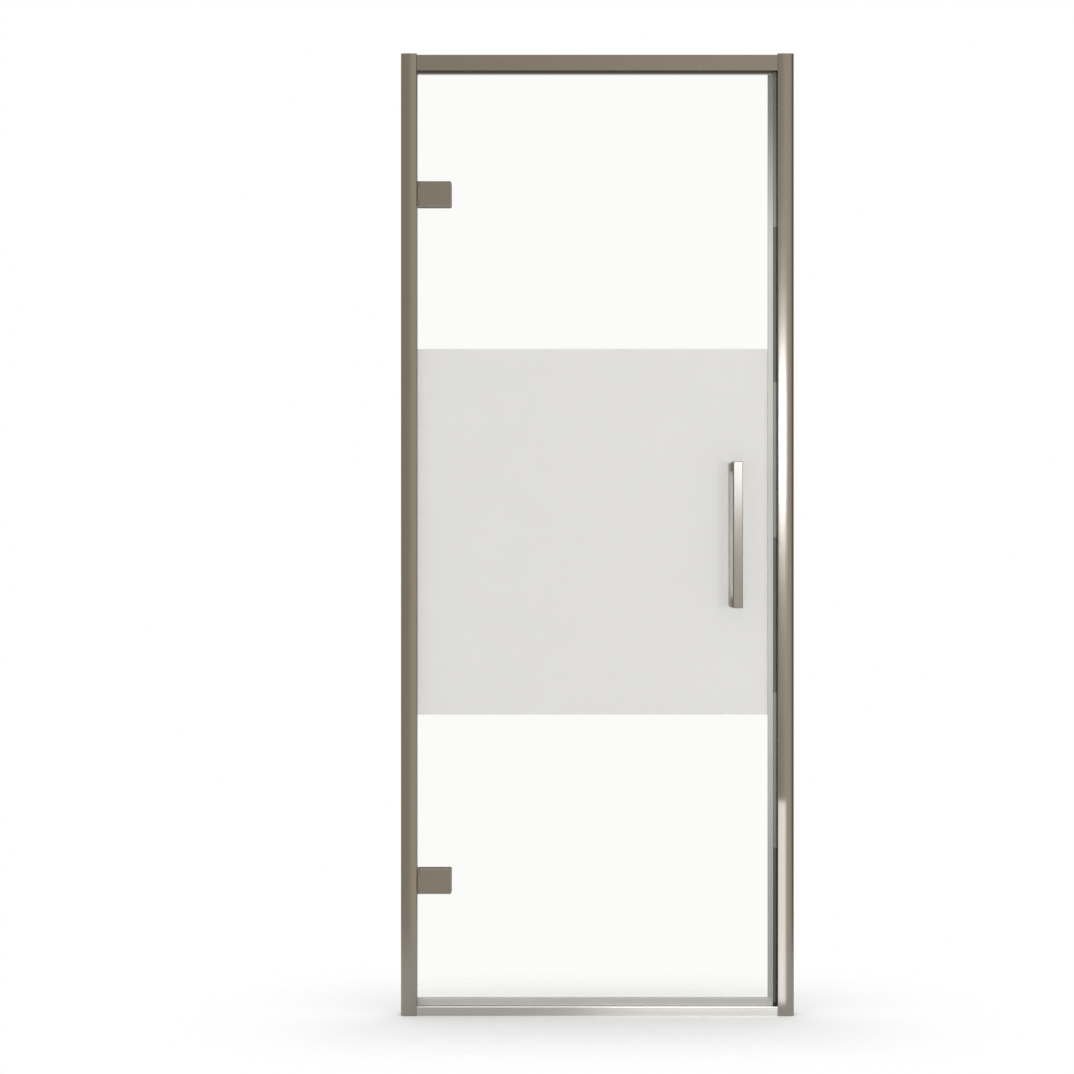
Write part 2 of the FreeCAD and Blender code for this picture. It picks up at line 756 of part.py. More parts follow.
# A gasket lies between each plate and the glass.
gasket = new_body("hinge_gasket")
extrude(
    gasket,
    "XZ",
    [
        rectangle(
            CLAMP_LEFT + " + gasket_inset",
            "gasket_inset - " + HALF,
            CLAMP_RIGHT + " - gasket_inset",
            HALF + " - gasket_inset",
        )
    ],
    "gasket_thickness",
)
rounded_end(gasket, CLAMP_RIGHT + " - gasket_inset")
for x in CLAMP_SCREWS:
    rod(gasket, "Subtractive", (x, 0, 0), "-Y", "clamp_screw_radius + screw_play", "gasket_thickness")
sides = ("-" + GLASS_FACE, CLAMP_IN)
group("hinge_gaskets", gasket, [(0, y, z, "Z") for z in HINGES.values() for y in sides])

CLAMPED = [(x, z) for z in HINGES.values() for x in CLAMP_SCREWS]
clamp_screw = flush_screw(
    "clamp_screw",
    "clamp_screw_radius",
    CLAMP_OUT + " + clamp_screw_tip",
    "clamp_head_radius",
    "clamp_head_height",
    "clamp_socket_radius",
)
group("hinge_clamp_screws", clamp_screw, [(x, CLAMP_OUT, z, "-Y") for x, z in CLAMPED])

leaf_screw = flush_screw(
    "leaf_screw",
    "leaf_screw_radius",
    "leaf_thickness + post_wall + nut_plate_thickness",
    "leaf_screw_radius * 2",
    "leaf_screw_radius",
    "leaf_socket_radius",
)
LEAF_SPOTS = ["%s + %s" % (level, offset) for level in HINGES.values() for offset in LEAF_SCREWS]
group(
    "hinge_leaf_screws",
    leaf_screw,
    [(HINGE_FACE + " + leaf_thickness", "leaf_screw_place", z, "-X") for z in LEAF_SPOTS],
)

nut_plate = new_body("nut_plate")
box(
    nut_plate,
    "Additive",
    ("-nut_plate_thickness", "leaf_screw_place - nut_plate_width / 2", "-" + HALF),
    (0, "leaf_screw_place + nut_plate_width / 2", HALF),
)
for offset in LEAF_SCREWS:
    at = (0, "leaf_screw_place", offset)
    rod(nut_plate, "Subtractive", at, "-X", "leaf_screw_radius", "nut_plate_thickness")
group("hinge_nut_plates", nut_plate, [(HINGE_FACE + " - post_wall", 0, z, "Z") for z in HINGES.values()])

pin = new_body("hinge_pin")
rod(pin, "Additive", (0, 0, "pin_short - " + HALF), "Z", "pin_radius", "hinge_height - 2 * pin_short")
group("hinge_pins", pin, [(PIN_X, PIN_Y, z, "Z") for z in HINGES.values()])

bush = new_body("hinge_bush")
rod(bush, "Additive", (0, 0, 0), "Z", "bush_radius", "bush_length")
rod(bush, "Additive", (0, 0, "-flange_thickness"), "Z", "flange_radius", "flange_thickness")
bore = "bush_length + flange_thickness"
rod(bush, "Subtractive", (0, 0, "-flange_thickness"), "Z", "pin_radius + pin_play", bore)
group(
    "hinge_bushes",
    bush,
    [(PIN_X, PIN_Y, "%s - %s" % (z, BARREL), "Z") for z in HINGES.values()]
    + [(PIN_X, PIN_Y, "%s + %s" % (z, BARREL), "-Z") for z in HINGES.values()],
)


# Handles: a square bar on two legs, one outside and one inside, back to back on shared studs.
def handle(name, side):
    seat = "%s(%s + washer_thickness)" % (side, GLASS_FACE)
    grip = "%s(handle_reach - handle_bar)" % side
    out = "%shandle_reach" % side
    low, high = "handle_bottom", "handle_bottom + handle_length"
    loop = [(seat, low), (out, low), (out, high), (seat, high)]
    loop += [(seat, high + " - handle_bar"), (grip, high + " - handle_bar")]
    loop += [(grip, low + " + handle_bar"), (seat, low + " + handle_bar")]
    body = new_body(name)
    extrude(body, "YZ", [loop], "handle_bar", "handle_place - handle_bar / 2")
    level = abs(value(seat))
    soften(body, "Chamfer", "handle_edge", lambda edge: abs(edge.CenterOfMass.y) > level + TOUCH)
    for z in HANDLE_LEGS:
        way = side + "Y" if side else "Y"
        at = ("handle_place", seat, z)
        depth = "stud_reach + hole_spare - %s - washer_thickness" % GLASS_FACE
        rod(body, "Subtractive", at, way, "stud_radius", depth)
    nodes.append(body)
    return body


outside_handle = handle("outside_handle", "-")
inside_handle = handle("inside_handle", "")
for z in HANDLE_LEGS:
    at = ("handle_place + stud_radius", "set_screw_place", z)
    rod(inside_handle, "Subtractive", at, "X", "set_screw_radius", "handle_bar / 2 - stud_radius")

stud = new_body("handle_stud")
rod(stud, "Additive", (0, 0, "-stud_reach"), "Z", "stud_radius", "stud_reach * 2")
group("handle_studs", stud, [("handle_place", 0, z, "Y") for z in HANDLE_LEGS])

washer = new_body("handle_washer")
half = "washer_side / 2"
box(washer, "Additive", ("-" + half, "-" + half, 0), (half, half, "washer_thickness"))
rod(washer, "Subtractive", (0, 0, 0), "Z", "stud_radius + screw_play", "washer_thickness")
group(
    "handle_washers",
    washer,
    [("handle_place", GLASS_FACE, z, "Y") for z in HANDLE_LEGS]
    + [("handle_place", "-" + GLASS_FACE, z, "-Y") for z in HANDLE_LEGS],
)

set_screw = new_body("set_screw")
length = "(handle_bar / 2 - stud_radius - set_screw_short)"
rod(set_screw, "Additive", (0, 0, 0), "Z", "set_screw_radius", length)
primitive(
    set_screw,
    "SubtractivePrism",
    (0, 0, length + " - set_socket_depth"),
    Circumradius="set_socket_radius",
    Height="set_socket_depth",
)
group(
    "handle_set_screws",
    set_screw,
    [("handle_place + stud_radius", "set_screw_place", z, "X") for z in HANDLE_LEGS],
)

# Strike side: a seal with a magnet on the glass edge, facing a magnet profile in the post.
SEAL_END = "(%s + seal_depth)" % GLASS_RIGHT
CHAMBER_END = "(%s + seal_depth - seal_wall)" % GLASS_RIGHT
CHAMBER_START = "(%s + seal_depth - seal_wall - magnet_thickness - chamber_play)" % GLASS_RIGHT
SEAL_BOTTOM = "(sweep_top + seal_end_gap)"
half, leg = "seal_half_width", "(%s + seal_wall)" % GLASS_FACE
seal = new_body("strike_edge_seal")
extrude(
    seal,
    "XY",
    [
        [
            (GLASS_RIGHT + " - seal_leg", "-" + leg),
            (GLASS_RIGHT, "-" + leg),
            (GLASS_RIGHT + " + seal_shoulder", "-" + half),
            (SEAL_END, "-" + half),
            (SEAL_END, half),
            (GLASS_RIGHT + " + seal_shoulder", half),
            (GLASS_RIGHT, leg),
            (GLASS_RIGHT + " - seal_leg", leg),
            (GLASS_RIGHT + " - seal_leg", GLASS_FACE),
            (GLASS_RIGHT, GLASS_FACE),
            (GLASS_RIGHT, "-" + GLASS_FACE),
            (GLASS_RIGHT + " - seal_leg", "-" + GLASS_FACE),
        ],
        rectangle(CHAMBER_START, "seal_wall - " + half, CHAMBER_END, half + " - seal_wall"),
    ],
    "%s - %s" % (GLASS_TOP, SEAL_BOTTOM),
    SEAL_BOTTOM,
)
nodes.append(seal)

magnet = new_body("door_magnet")
box(
    magnet,
    "Additive",
    (CHAMBER_END + " - magnet_thickness", "-magnet_width / 2", SEAL_BOTTOM),
    (CHAMBER_END, "magnet_width / 2", GLASS_TOP),
)
nodes.append(magnet)

PROFILE_START = "(%s + seal_depth + magnet_gap)" % GLASS_RIGHT
BLOCK_TOP = "(sill_height + block_height)"
holder = new_body("strike_magnet_profile")
neck, foot = "(groove_half_width - slot_play)", "foot_half_width"
HEAD_END = "(%s - profile_standoff)" % STRIKE_FACE
BEHIND = "(%s + post_wall)" % STRIKE_FACE
extrude(
    holder,
    "XY",
    [
        [
            (PROFILE_START, "-" + half),
            (HEAD_END, "-" + half),
            (HEAD_END, "-" + neck),
            (BEHIND, "-" + neck),
            (BEHIND, "-" + foot),
            (BEHIND + " + foot_depth", "-" + neck),
            (BEHIND + " + foot_depth", neck),
            (BEHIND, foot),
            (BEHIND, neck),
            (HEAD_END, neck),
            (HEAD_END, half),
            (PROFILE_START, half),
        ],
        rectangle(
            PROFILE_START + " + seal_wall",
            "seal_wall - " + half,
            PROFILE_START + " + seal_wall + magnet_thickness + chamber_play",
            half + " - seal_wall",
        ),
    ],
    "%s - %s" % (HEADER_BOTTOM, BLOCK_TOP),
    BLOCK_TOP,
)
nodes.append(holder)

MAGNET_RUN = "((%s - %s) / magnet_count)" % (HEADER_BOTTOM, BLOCK_TOP)
bar = new_body("strike_magnet")
box(
    bar,
    "Additive",
    (0, "-magnet_width / 2", "magnet_joint / 2"),
    ("magnet_thickness", "magnet_width / 2", MAGNET_RUN + " - magnet_joint / 2"),
)
group(
    "strike_magnets",
    bar,
    [
        (PROFILE_START + " + seal_wall", 0, "%s + %d * %s" % (BLOCK_TOP, i, MAGNET_RUN), "Z")
        for i in range(int(value("magnet_count")))
    ],
)

block = new_body("corner_block")
tread = "(sill_height - sill_fall * (%s + %s) / (%s * 2 - dam_thickness))"
extrude(
    block,
    "YZ",
    [
        [
            ("-block_half_width", tread % ("-block_half_width", BAR_FACE, BAR_FACE)),
            ("block_half_width", tread % ("block_half_width", BAR_FACE, BAR_FACE)),
            ("block_half_width", BLOCK_TOP),
            ("-block_half_width", BLOCK_TOP),
        ]
    ],
    "%s - %s" % (STRIKE_FACE, PROFILE_START),
    PROFILE_START,
)
nodes.append(block)

# Bottom sweep: grips the glass and drags two fins just above the sill.
grip_edge = "(%s + sweep_wall)" % GLASS_FACE
base = "(glass_bottom - sweep_wall)"
splay = "(%s + sweep_fin_splay)" % GLASS_FACE
sweep = new_body("bottom_sweep")
extrude(
    sweep,
    "YZ",
    [
        [
            ("-" + grip_edge, "sweep_top"),
            ("-" + grip_edge, base),
            ("-" + splay, "sweep_fin_bottom"),
            ("sweep_fin_wall - " + splay, "sweep_fin_bottom"),
            ("sweep_fin_wall - " + grip_edge, base),
            (grip_edge + " - sweep_fin_wall", base),
            (splay + " - sweep_fin_wall", "sweep_fin_bottom"),
            (splay, "sweep_fin_bottom"),
            (grip_edge, base),
            (grip_edge, "sweep_top"),
            (GLASS_FACE, "sweep_top"),
            (GLASS_FACE, "glass_bottom"),
            ("-" + GLASS_FACE, "glass_bottom"),
            ("-" + GLASS_FACE, "sweep_top"),
        ]
    ],
    "%s - %s" % (SEAL_END, GLASS_LEFT),
    GLASS_LEFT,
)
nodes.append(sweep)

doc.recompute()

os.makedirs("parts", exist_ok=True)
faults = []
for thing in doc.Objects:
    if any(state in ("Invalid", "Error") for state in thing.State):
        faults.append("%s: %s" % (thing.Name, ",".join(thing.State)))
for node in nodes:
    if node.Shape.isNull() or not node.Shape.isValid():
        faults.append("%s: bad shape" % node.Label)
    elif not node.Shape.Solids:
        faults.append("%s: no solid" % node.Label)
if faults:
    raise RuntimeError("; ".join(faults))
for node in nodes:
    node.Shape.exportStep(os.path.join("parts", node.Label + ".step"))
print("nodes", len(nodes))
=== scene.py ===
import math

import bmesh
import bpy
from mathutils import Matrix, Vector


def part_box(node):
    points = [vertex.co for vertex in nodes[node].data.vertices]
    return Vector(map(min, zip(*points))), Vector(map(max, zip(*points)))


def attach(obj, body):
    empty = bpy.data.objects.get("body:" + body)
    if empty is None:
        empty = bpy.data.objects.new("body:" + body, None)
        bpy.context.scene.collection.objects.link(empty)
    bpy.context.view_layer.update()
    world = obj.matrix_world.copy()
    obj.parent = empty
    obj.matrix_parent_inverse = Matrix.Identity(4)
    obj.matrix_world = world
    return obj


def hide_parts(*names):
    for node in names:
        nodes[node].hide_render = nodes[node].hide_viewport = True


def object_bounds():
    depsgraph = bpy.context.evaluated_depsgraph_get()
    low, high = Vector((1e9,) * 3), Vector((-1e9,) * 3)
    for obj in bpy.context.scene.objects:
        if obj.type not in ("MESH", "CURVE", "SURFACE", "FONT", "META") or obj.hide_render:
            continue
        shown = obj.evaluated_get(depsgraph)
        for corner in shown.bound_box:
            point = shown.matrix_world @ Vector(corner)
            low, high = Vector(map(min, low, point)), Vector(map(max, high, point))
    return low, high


# The looks of a pivot shower door, closed, seen from outside. Its pieces stand for the packed
# CAD nodes. Metres: X to the strike side, Y to the inside of the shower, Z up.

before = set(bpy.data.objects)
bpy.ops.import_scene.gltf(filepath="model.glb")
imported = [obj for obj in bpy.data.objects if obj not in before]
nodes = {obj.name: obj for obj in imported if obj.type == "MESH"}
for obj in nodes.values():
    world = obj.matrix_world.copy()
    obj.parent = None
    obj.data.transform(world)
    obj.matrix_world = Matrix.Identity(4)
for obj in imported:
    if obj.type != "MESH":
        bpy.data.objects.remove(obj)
cad_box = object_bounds()
MM = 0.001

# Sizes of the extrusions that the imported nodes' boxes don't give.
POST_WALL = 1.6 * MM
POST_BOW = 1.2 * MM
POST_LIP = 5.2 * MM
POST_OUTER_RADIUS = 5 * MM
POST_INNER_RADIUS = 1.5 * MM
POST_HOLLOW_RADIUS = 0.3 * MM
POST_BACK_RADIUS = 0.8 * MM
GUIDE_REACHES = (8.4 * MM, 18.4 * MM)
GUIDE_WIDTH = 1.6 * MM
GUIDE_HALF_GAP = 8.5 * MM
CAP_PLUG_REACHES = (21.6 * MM, 1.9 * MM)
CAP_PLUG_HALVES = (5 * MM, 8.2 * MM)
GROOVE_HALF = 2.2 * MM
POCKET_HALF = 3.7 * MM
POCKET_DEPTH = 1.7 * MM
POCKET_WALL = 1.2 * MM
MAGNET_LENGTHS = 6

post_low, post_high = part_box("hinge_post")
DOOR_FACE = {"hinge": post_high.x, "strike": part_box("strike_post")[0].x}
WALL_FACE = {"hinge": post_low.x, "strike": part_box("strike_post")[1].x}
POST_WIDTH = {side: abs(DOOR_FACE[side] - WALL_FACE[side]) for side in DOOR_FACE}
HALF_DEPTH = post_high.y
POST_TOP = post_high.z
CAP_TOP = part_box("hinge_post_cap")[1].z
CAP_PLUG_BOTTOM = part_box("hinge_post_cap")[0].z


# ---------------------------------------------------------------- shared shader effects
EFFECT_INPUTS = {
    "Colour": "NodeSocketColor",
    "Contrast": "NodeSocketFloat",
    "Roughness": "NodeSocketFloat",
    "Roughness Spread": "NodeSocketFloat",
}
EFFECT_OUTPUTS = {
    "Colour": "NodeSocketColor",
    "Roughness": "NodeSocketFloat",
    "Height": "NodeSocketFloat",
}


def effect_group(name, own_inputs):
    """A shader node group with the sockets that all effects have, and one or more of its own."""
    tree = bpy.data.node_groups.new(name, "ShaderNodeTree")
    for label, kind in {**EFFECT_INPUTS, **own_inputs}.items():
        tree.interface.new_socket(label, in_out="INPUT", socket_type=kind)
    for label, kind in EFFECT_OUTPUTS.items():
        tree.interface.new_socket(label, in_out="OUTPUT", socket_type=kind)
    given = tree.nodes.new("NodeGroupInput").outputs
    return tree, given, tree.nodes.new("NodeGroupOutput").inputs


def add(tree, kind, operation=None, **values):
    """A node of a tree. Values are socket numbers or names, with _ for a space."""
    node = tree.nodes.new(kind)
    if operation:
        node.operation = operation
    for label, value in values.items():
        key = int(label[1:]) if label[1:].isdigit() else label.replace("_", " ")
        if isinstance(value, bpy.types.NodeSocket):
            tree.links.new(value, node.inputs[key])
        else:
            node.inputs[key].default_value = value
    return node


def maths(tree, operation, *values):
    """The result of a Math node."""
    numbered = {f"_{i}": value for i, value in enumerate(values)}
    return add(tree, "ShaderNodeMath", operation, **numbered).outputs[0]


def faded(tree, value, none, full):
    """From 0 to 1, smoothly, as a value goes from none to full."""
    fade = add(tree, "ShaderNodeMapRange", Value=value, From_Min=none, From_Max=full)
    fade.interpolation_type = "SMOOTHSTEP"
    return fade.outputs[0]


# The sockets of a Mix node that mixes colours: factor, two colours and the result.
MIX_INPUTS = (0, 6, 7)
MIX_RESULT = 2


def mixed(tree, factor, one, two, blend="MIX"):
    """The colour between two colours."""
    node = tree.nodes.new("ShaderNodeMix")
    node.data_type = "RGBA"
    node.blend_type = blend
    for index, value in zip(MIX_INPUTS, (factor, one, two)):
        if isinstance(value, bpy.types.NodeSocket):
            tree.links.new(value, node.inputs[index])
        else:
            node.inputs[index].default_value = value
    return node.outputs[MIX_RESULT]


def object_place(tree):
    """Where a point lies on the object, as X, Y and Z."""
    place = add(tree, "ShaderNodeTexCoord").outputs["Object"]
    return add(tree, "ShaderNodeSeparateXYZ", Vector=place).outputs


def noise(tree, place, scale, **more):
    """The strength of a noise texture."""
    return add(tree, "ShaderNodeTexNoise", Vector=place, Scale=scale, **more).outputs[0]


def finish_effect(tree, given, made, uneven, roughening, height):
    """Spread unevenness over the colour and the roughness, and pass the height on."""
    shade = maths(tree, "MULTIPLY_ADD", uneven, given["Contrast"], 1.0)
    colour = add(tree, "ShaderNodeVectorMath", "SCALE", _0=given["Colour"], Scale=shade)
    spread, roughness = given["Roughness Spread"], given["Roughness"]
    tree.links.new(colour.outputs[0], made["Colour"])
    tree.links.new(maths(tree, "MULTIPLY_ADD", roughening, spread, roughness), made["Roughness"])
    tree.links.new(height, made["Height"])
    return tree


# The broad streaks of brushed metal, its patches, and the patches of mottled stuff.
NOISE_MEAN = 0.5
STREAK_SCALE = 0.11
PATCHES_PER_METRE = 9.0
MOTTLE_PATCH_SCALE = 0.08


def brushed_metal_group():
    """Fine lines along one direction, with broad uneven streaks under them."""
    tree, given, made = effect_group("brushed metal", {"Grain": "NodeSocketVector"})
    place = add(tree, "ShaderNodeTexCoord").outputs["Object"]
    grain = add(tree, "ShaderNodeVectorMath", "MULTIPLY", _0=place, _1=given["Grain"])
    lines = grain.outputs[0]
    fine = noise(tree, lines, 1.0, Detail=3.0, Roughness=0.6)
    wide = add(tree, "ShaderNodeVectorMath", "SCALE", _0=lines, Scale=STREAK_SCALE)
    streaks = noise(tree, wide.outputs[0], 1.0, Detail=2.0)
    patches = noise(tree, place, PATCHES_PER_METRE, Detail=2.0)
    both = maths(tree, "ADD", fine, streaks)
    uneven = maths(tree, "SUBTRACT", both, 2 * NOISE_MEAN)
    centred = maths(tree, "SUBTRACT", maths(tree, "ADD", uneven, patches), NOISE_MEAN)
    return finish_effect(tree, given, made, uneven, centred, both)


def mottle_group():
    """The slight unevenness of moulded, drawn or etched stuff."""
    tree, given, made = effect_group("mottle", {"Scale": "NodeSocketFloat"})
    place = add(tree, "ShaderNodeTexCoord").outputs["Object"]
    grain = noise(tree, place, given["Scale"], Detail=3.0, Roughness=0.6)
    coarse = maths(tree, "MULTIPLY", given["Scale"], MOTTLE_PATCH_SCALE)
    both = maths(tree, "ADD", grain, noise(tree, place, coarse, Detail=2.0))
    uneven = maths(tree, "SUBTRACT", both, 2 * NOISE_MEAN)
    return finish_effect(tree, given, made, uneven, uneven, both)


BRUSHED = brushed_metal_group()
MOTTLE = mottle_group()


# ---------------------------------------------------------------- materials
def effect(tree, group, **values):
    """A shared effect, as a node of a material."""
    node = tree.nodes.new("ShaderNodeGroup")
    node.node_tree = group
    for label, value in values.items():
        node.inputs[label.replace("_", " ")].default_value = value
    return node


def coated(name, group, bump, bump_depth, principled, **values):
    """A material whose colour, roughness and bump come from a shared effect."""
    material = bpy.data.materials.new(name)
    material.use_nodes = True
    tree = material.node_tree
    shader = tree.nodes["Principled BSDF"]
    for label, value in principled.items():
        shader.inputs[label].default_value = value
    source = effect(tree, group, **values)
    tree.links.new(source.outputs["Colour"], shader.inputs["Base Color"])
    tree.links.new(source.outputs["Roughness"], shader.inputs["Roughness"])
    height = source.outputs["Height"]
    relief = add(tree, "ShaderNodeBump", Strength=bump, Distance=bump_depth, Height=height)
    tree.links.new(relief.outputs[0], shader.inputs["Normal"])
    return material


# How close the grain's noise lies along the brushing and across it, per metre.
GRAIN_ALONG, GRAIN_ACROSS = 40, 3200
GRAIN = {
    way: tuple(GRAIN_ALONG if axis == way else GRAIN_ACROSS for axis in "XYZ") for way in "XYZ"
}
BRUSH_DEPTH = 0.02 * MM
SILL_METALLIC = 0.75
NICKEL = (0.55, 0.535, 0.515, 1)


def nickel(name, way, roughness, contrast=0.1, colour=NICKEL, bump=0.1, metallic=1.0):
    """Metal brushed along X, Y or Z."""
    return coated(
        name,
        BRUSHED,
        bump=bump,
        bump_depth=BRUSH_DEPTH,
        principled={"Metallic": metallic},
        Colour=colour,
        Grain=GRAIN[way],
        Contrast=contrast,
        Roughness=roughness,
        Roughness_Spread=0.06,
    )


POST_NICKEL = nickel("brushed nickel, upright", "Z", roughness=0.18)
BAR_NICKEL = nickel("brushed nickel, level", "X", roughness=0.22)
SILL_NICKEL = nickel(
    "brushed nickel, sill",
    "X",
    roughness=0.3,
    colour=(0.63, 0.63, 0.61, 1),
    metallic=SILL_METALLIC,
)
HINGE_NICKEL = nickel("brushed nickel, hinges", "X", roughness=0.25, contrast=0.04, bump=0.03)
HANDLE_NICKEL = nickel(
    "satin nickel, handles",
    "Z",
    roughness=0.15,
    contrast=0.05,
    colour=(0.58, 0.59, 0.59, 1),
    bump=0.05,
)
CAP_NICKEL = nickel("satin nickel, caps", "Y", roughness=0.3, contrast=0.06)
ALUMINIUM = nickel("mill aluminium", "Z", roughness=0.38, colour=(0.62, 0.62, 0.61, 1))
SCREW_STEEL = coated(
    "stainless screws",
    MOTTLE,
    bump=0.1,
    bump_depth=0.02 * MM,
    principled={"Metallic": 1.0},
    Colour=(0.52, 0.51, 0.49, 1),
    Scale=1800.0,
    Contrast=0.1,
    Roughness=0.24,
    Roughness_Spread=0.12,
)
ZINC_STEEL = coated(
    "zinc plated steel",
    MOTTLE,
    bump=0.2,
    bump_depth=0.05 * MM,
    principled={"Metallic": 1.0},
    Colour=(0.55, 0.55, 0.53, 1),
    Scale=500.0,
    Contrast=0.3,
    Roughness=0.38,
    Roughness_Spread=0.2,
)
CLEAR_GLASS = coated(
    "clear toughened glass",
    MOTTLE,
    bump=0.02,
    bump_depth=0.02 * MM,
    principled={"IOR": 1.33, "Transmission Weight": 1.0},
    Colour=(0.99, 0.995, 0.985, 1),
    Scale=12.0,
    Contrast=0.01,
    Roughness=0.004,
    Roughness_Spread=0.004,
)
ETCHED_GLASS = coated(
    "etched glass band",
    MOTTLE,
    bump=0.2,
    bump_depth=0.02 * MM,
    principled={"IOR": 1.2, "Transmission Weight": 0.64},
    Colour=(0.99, 0.98, 0.967, 1),
    Scale=900.0,
    Contrast=0.02,
    Roughness=0.2,
    Roughness_Spread=0.04,
)
EDGE_GLASS = coated(
    "polished glass edge",
    MOTTLE,
    bump=0.05,
    bump_depth=0.02 * MM,
    principled={"Specular IOR Level": 0.6},
    Colour=(0.2, 0.26, 0.235, 1),
    Scale=300.0,
    Contrast=0.3,
    Roughness=0.18,
    Roughness_Spread=0.1,
)
SEAL_VINYL = coated(
    "translucent seal vinyl",
    MOTTLE,
    bump=0.05,
    bump_depth=0.05 * MM,
    principled={"Specular IOR Level": 0.3},
    Colour=(0.66, 0.67, 0.625, 1),
    Scale=260.0,
    Contrast=0.08,
    Roughness=0.3,
    Roughness_Spread=0.12,
)
SWEEP_VINYL = coated(
    "clouded sweep vinyl",
    MOTTLE,
    bump=0.2,
    bump_depth=0.05 * MM,
    principled={"IOR": 1.3, "Transmission Weight": 0.6},
    Colour=(0.86, 0.855, 0.82, 1),
    Scale=260.0,
    Contrast=0.08,
    Roughness=0.36,
    Roughness_Spread=0.12,
)
CLEAR_GASKET = coated(
    "clear gasket",
    MOTTLE,
    bump=0.1,
    bump_depth=0.05 * MM,
    principled={"Specular IOR Level": 0.4},
    Colour=(0.42, 0.43, 0.41, 1),
    Scale=300.0,
    Contrast=0.06,
    Roughness=0.3,
    Roughness_Spread=0.1,
)
NYLON = coated(
    "grey nylon",
    MOTTLE,
    bump=0.15,
    bump_depth=0.05 * MM,
    principled={"Specular IOR Level": 0.4},
    Colour=(0.16, 0.15, 0.135, 1),
    Scale=400.0,
    Contrast=0.06,
    Roughness=0.42,
    Roughness_Spread=0.1,
)
BLACK_RUBBER = coated(
    "black rubber",
    MOTTLE,
    bump=0.3,
    bump_depth=0.08 * MM,
    principled={"Specular IOR Level": 0.35},
    Colour=(0.022, 0.022, 0.021, 1),
    Scale=700.0,
    Contrast=0.3,
    Roughness=0.55,
    Roughness_Spread=0.15,
)


run_low, run_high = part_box("strike_magnet_profile")
MAGNET_RUN = (run_high.z - run_low.z) / MAGNET_LENGTHS


def shade_where(material, mask, tone):
    """Multiply a material's colour by a tone where a mask is 1."""
    tree = material.node_tree
    base = tree.nodes["Principled BSDF"].inputs["Base Color"]
    plain = base.links[0].from_socket
    shaded = mixed(tree, 1.0, plain, (*tone, 1), "MULTIPLY")
    tree.links.new(mixed(tree, mask, plain, shaded), base)


# The next tones are painted light and shade, not known finishes: a painted light on the sill's
# tread and painted shade on the header's underside.
# The tread lies behind the sill's front edge and above a level, and the underside takes in the
# header's lower edges.
TREAD_EDGE = 0.7 * MM
TREAD_LEVEL = 14.8 * MM
TREAD_METALLIC = 0.1
TREAD_PAINTED_LIGHT = (1.45, 1.45, 1.45)
UNDERSIDE = 0.9 * MM
UNDERSIDE_PAINTED_SHADE = (0.13, 0.11, 0.09)
# The heights between which the painted shade on the vinyls goes from none to full.
TOP_PAINTED_SHADE = (1.35, 1.68)
BOTTOM_PAINTED_SHADE = (0.85, 0.1)


def dull_tread_painted_light(material, metallic, tone):
    """The top of the sill behind its front edge is made dull, and its colour is lightened there as
    a painted light.
    """
    tree = material.node_tree
    parts = object_place(tree)
    behind = maths(tree, "GREATER_THAN", parts["Y"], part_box("sill")[0].y + TREAD_EDGE)
    above = maths(tree, "GREATER_THAN", parts["Z"], TREAD_LEVEL)
    tread = maths(tree, "MULTIPLY", behind, above)
    share = maths(tree, "MULTIPLY_ADD", tread, metallic - SILL_METALLIC, SILL_METALLIC)
    tree.links.new(share, tree.nodes["Principled BSDF"].inputs["Metallic"])
    shade_where(material, tread, tone)


def painted_shade_underside(material, node, tone):
    """Painted shade: the colour of the level extrusion's underside is darkened."""
    tree = material.node_tree
    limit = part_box(node)[0].z + UNDERSIDE
    shade_where(material, maths(tree, "LESS_THAN", object_place(tree)["Z"], limit), tone)


def painted_shade_ends(material, top, bottom):
    """Painted shade: the vinyls' colour gets darker towards the top and the foot of the door."""
    tree = material.node_tree
    height = object_place(tree)["Z"]
    for (clear, dark), shade in ((TOP_PAINTED_SHADE, top), (BOTTOM_PAINTED_SHADE, bottom)):
        shade_where(material, faded(tree, height, clear, dark), (shade, shade, shade))


def in_lengths(material, shade):
    """In the photo the magnet strip shows lengths of two tones by turns."""
    tree = material.node_tree
    height = object_place(tree)["Z"]
    # One pair of lengths, of which the first is the shaded one, counts as 1.
    start = -0.5 * run_low.z / MAGNET_RUN
    pairs = maths(tree, "MULTIPLY_ADD", height, 0.5 / MAGNET_RUN, start)
    other = maths(tree, "LESS_THAN", maths(tree, "FRACT", pairs), 0.5)
    shade_where(material, other, (shade, shade, shade))
    return material


# Painted light on the sill's tread, which is also made dull.
dull_tread_painted_light(SILL_NICKEL, TREAD_METALLIC, TREAD_PAINTED_LIGHT)
# Painted shade under the header.
painted_shade_underside(BAR_NICKEL, "header", UNDERSIDE_PAINTED_SHADE)
# Painted shade towards both ends of the seal.
painted_shade_ends(SEAL_VINYL, top=0.36, bottom=0.6)
PROFILE_VINYL = in_lengths(
    coated(
        "smoky magnet profile",
        MOTTLE,
        bump=0.15,
        bump_depth=0.05 * MM,
        principled={"IOR": 1.4, "Transmission Weight": 0.2, "Specular IOR Level": 0.3},
        Colour=(0.45, 0.46, 0.42, 1),
        Scale=260.0,
        Contrast=0.08,
        Roughness=0.34,
        Roughness_Spread=0.12,
    ),
    shade=0.5,
)
# Painted shade towards both ends of the magnet profile.
painted_shade_ends(PROFILE_VINYL, top=0.5, bottom=0.6)
MAGNET_STRIP = in_lengths(
    coated(
        "magnet strip",
        MOTTLE,
        bump=0.2,
        bump_depth=0.04 * MM,
        principled={"Specular IOR Level": 0.3},
        Colour=(0.2, 0.2, 0.19, 1),
        Scale=350.0,
        Contrast=0.12,
        Roughness=0.5,
        Roughness_Spread=0.1,
    ),
    shade=0.5,
)


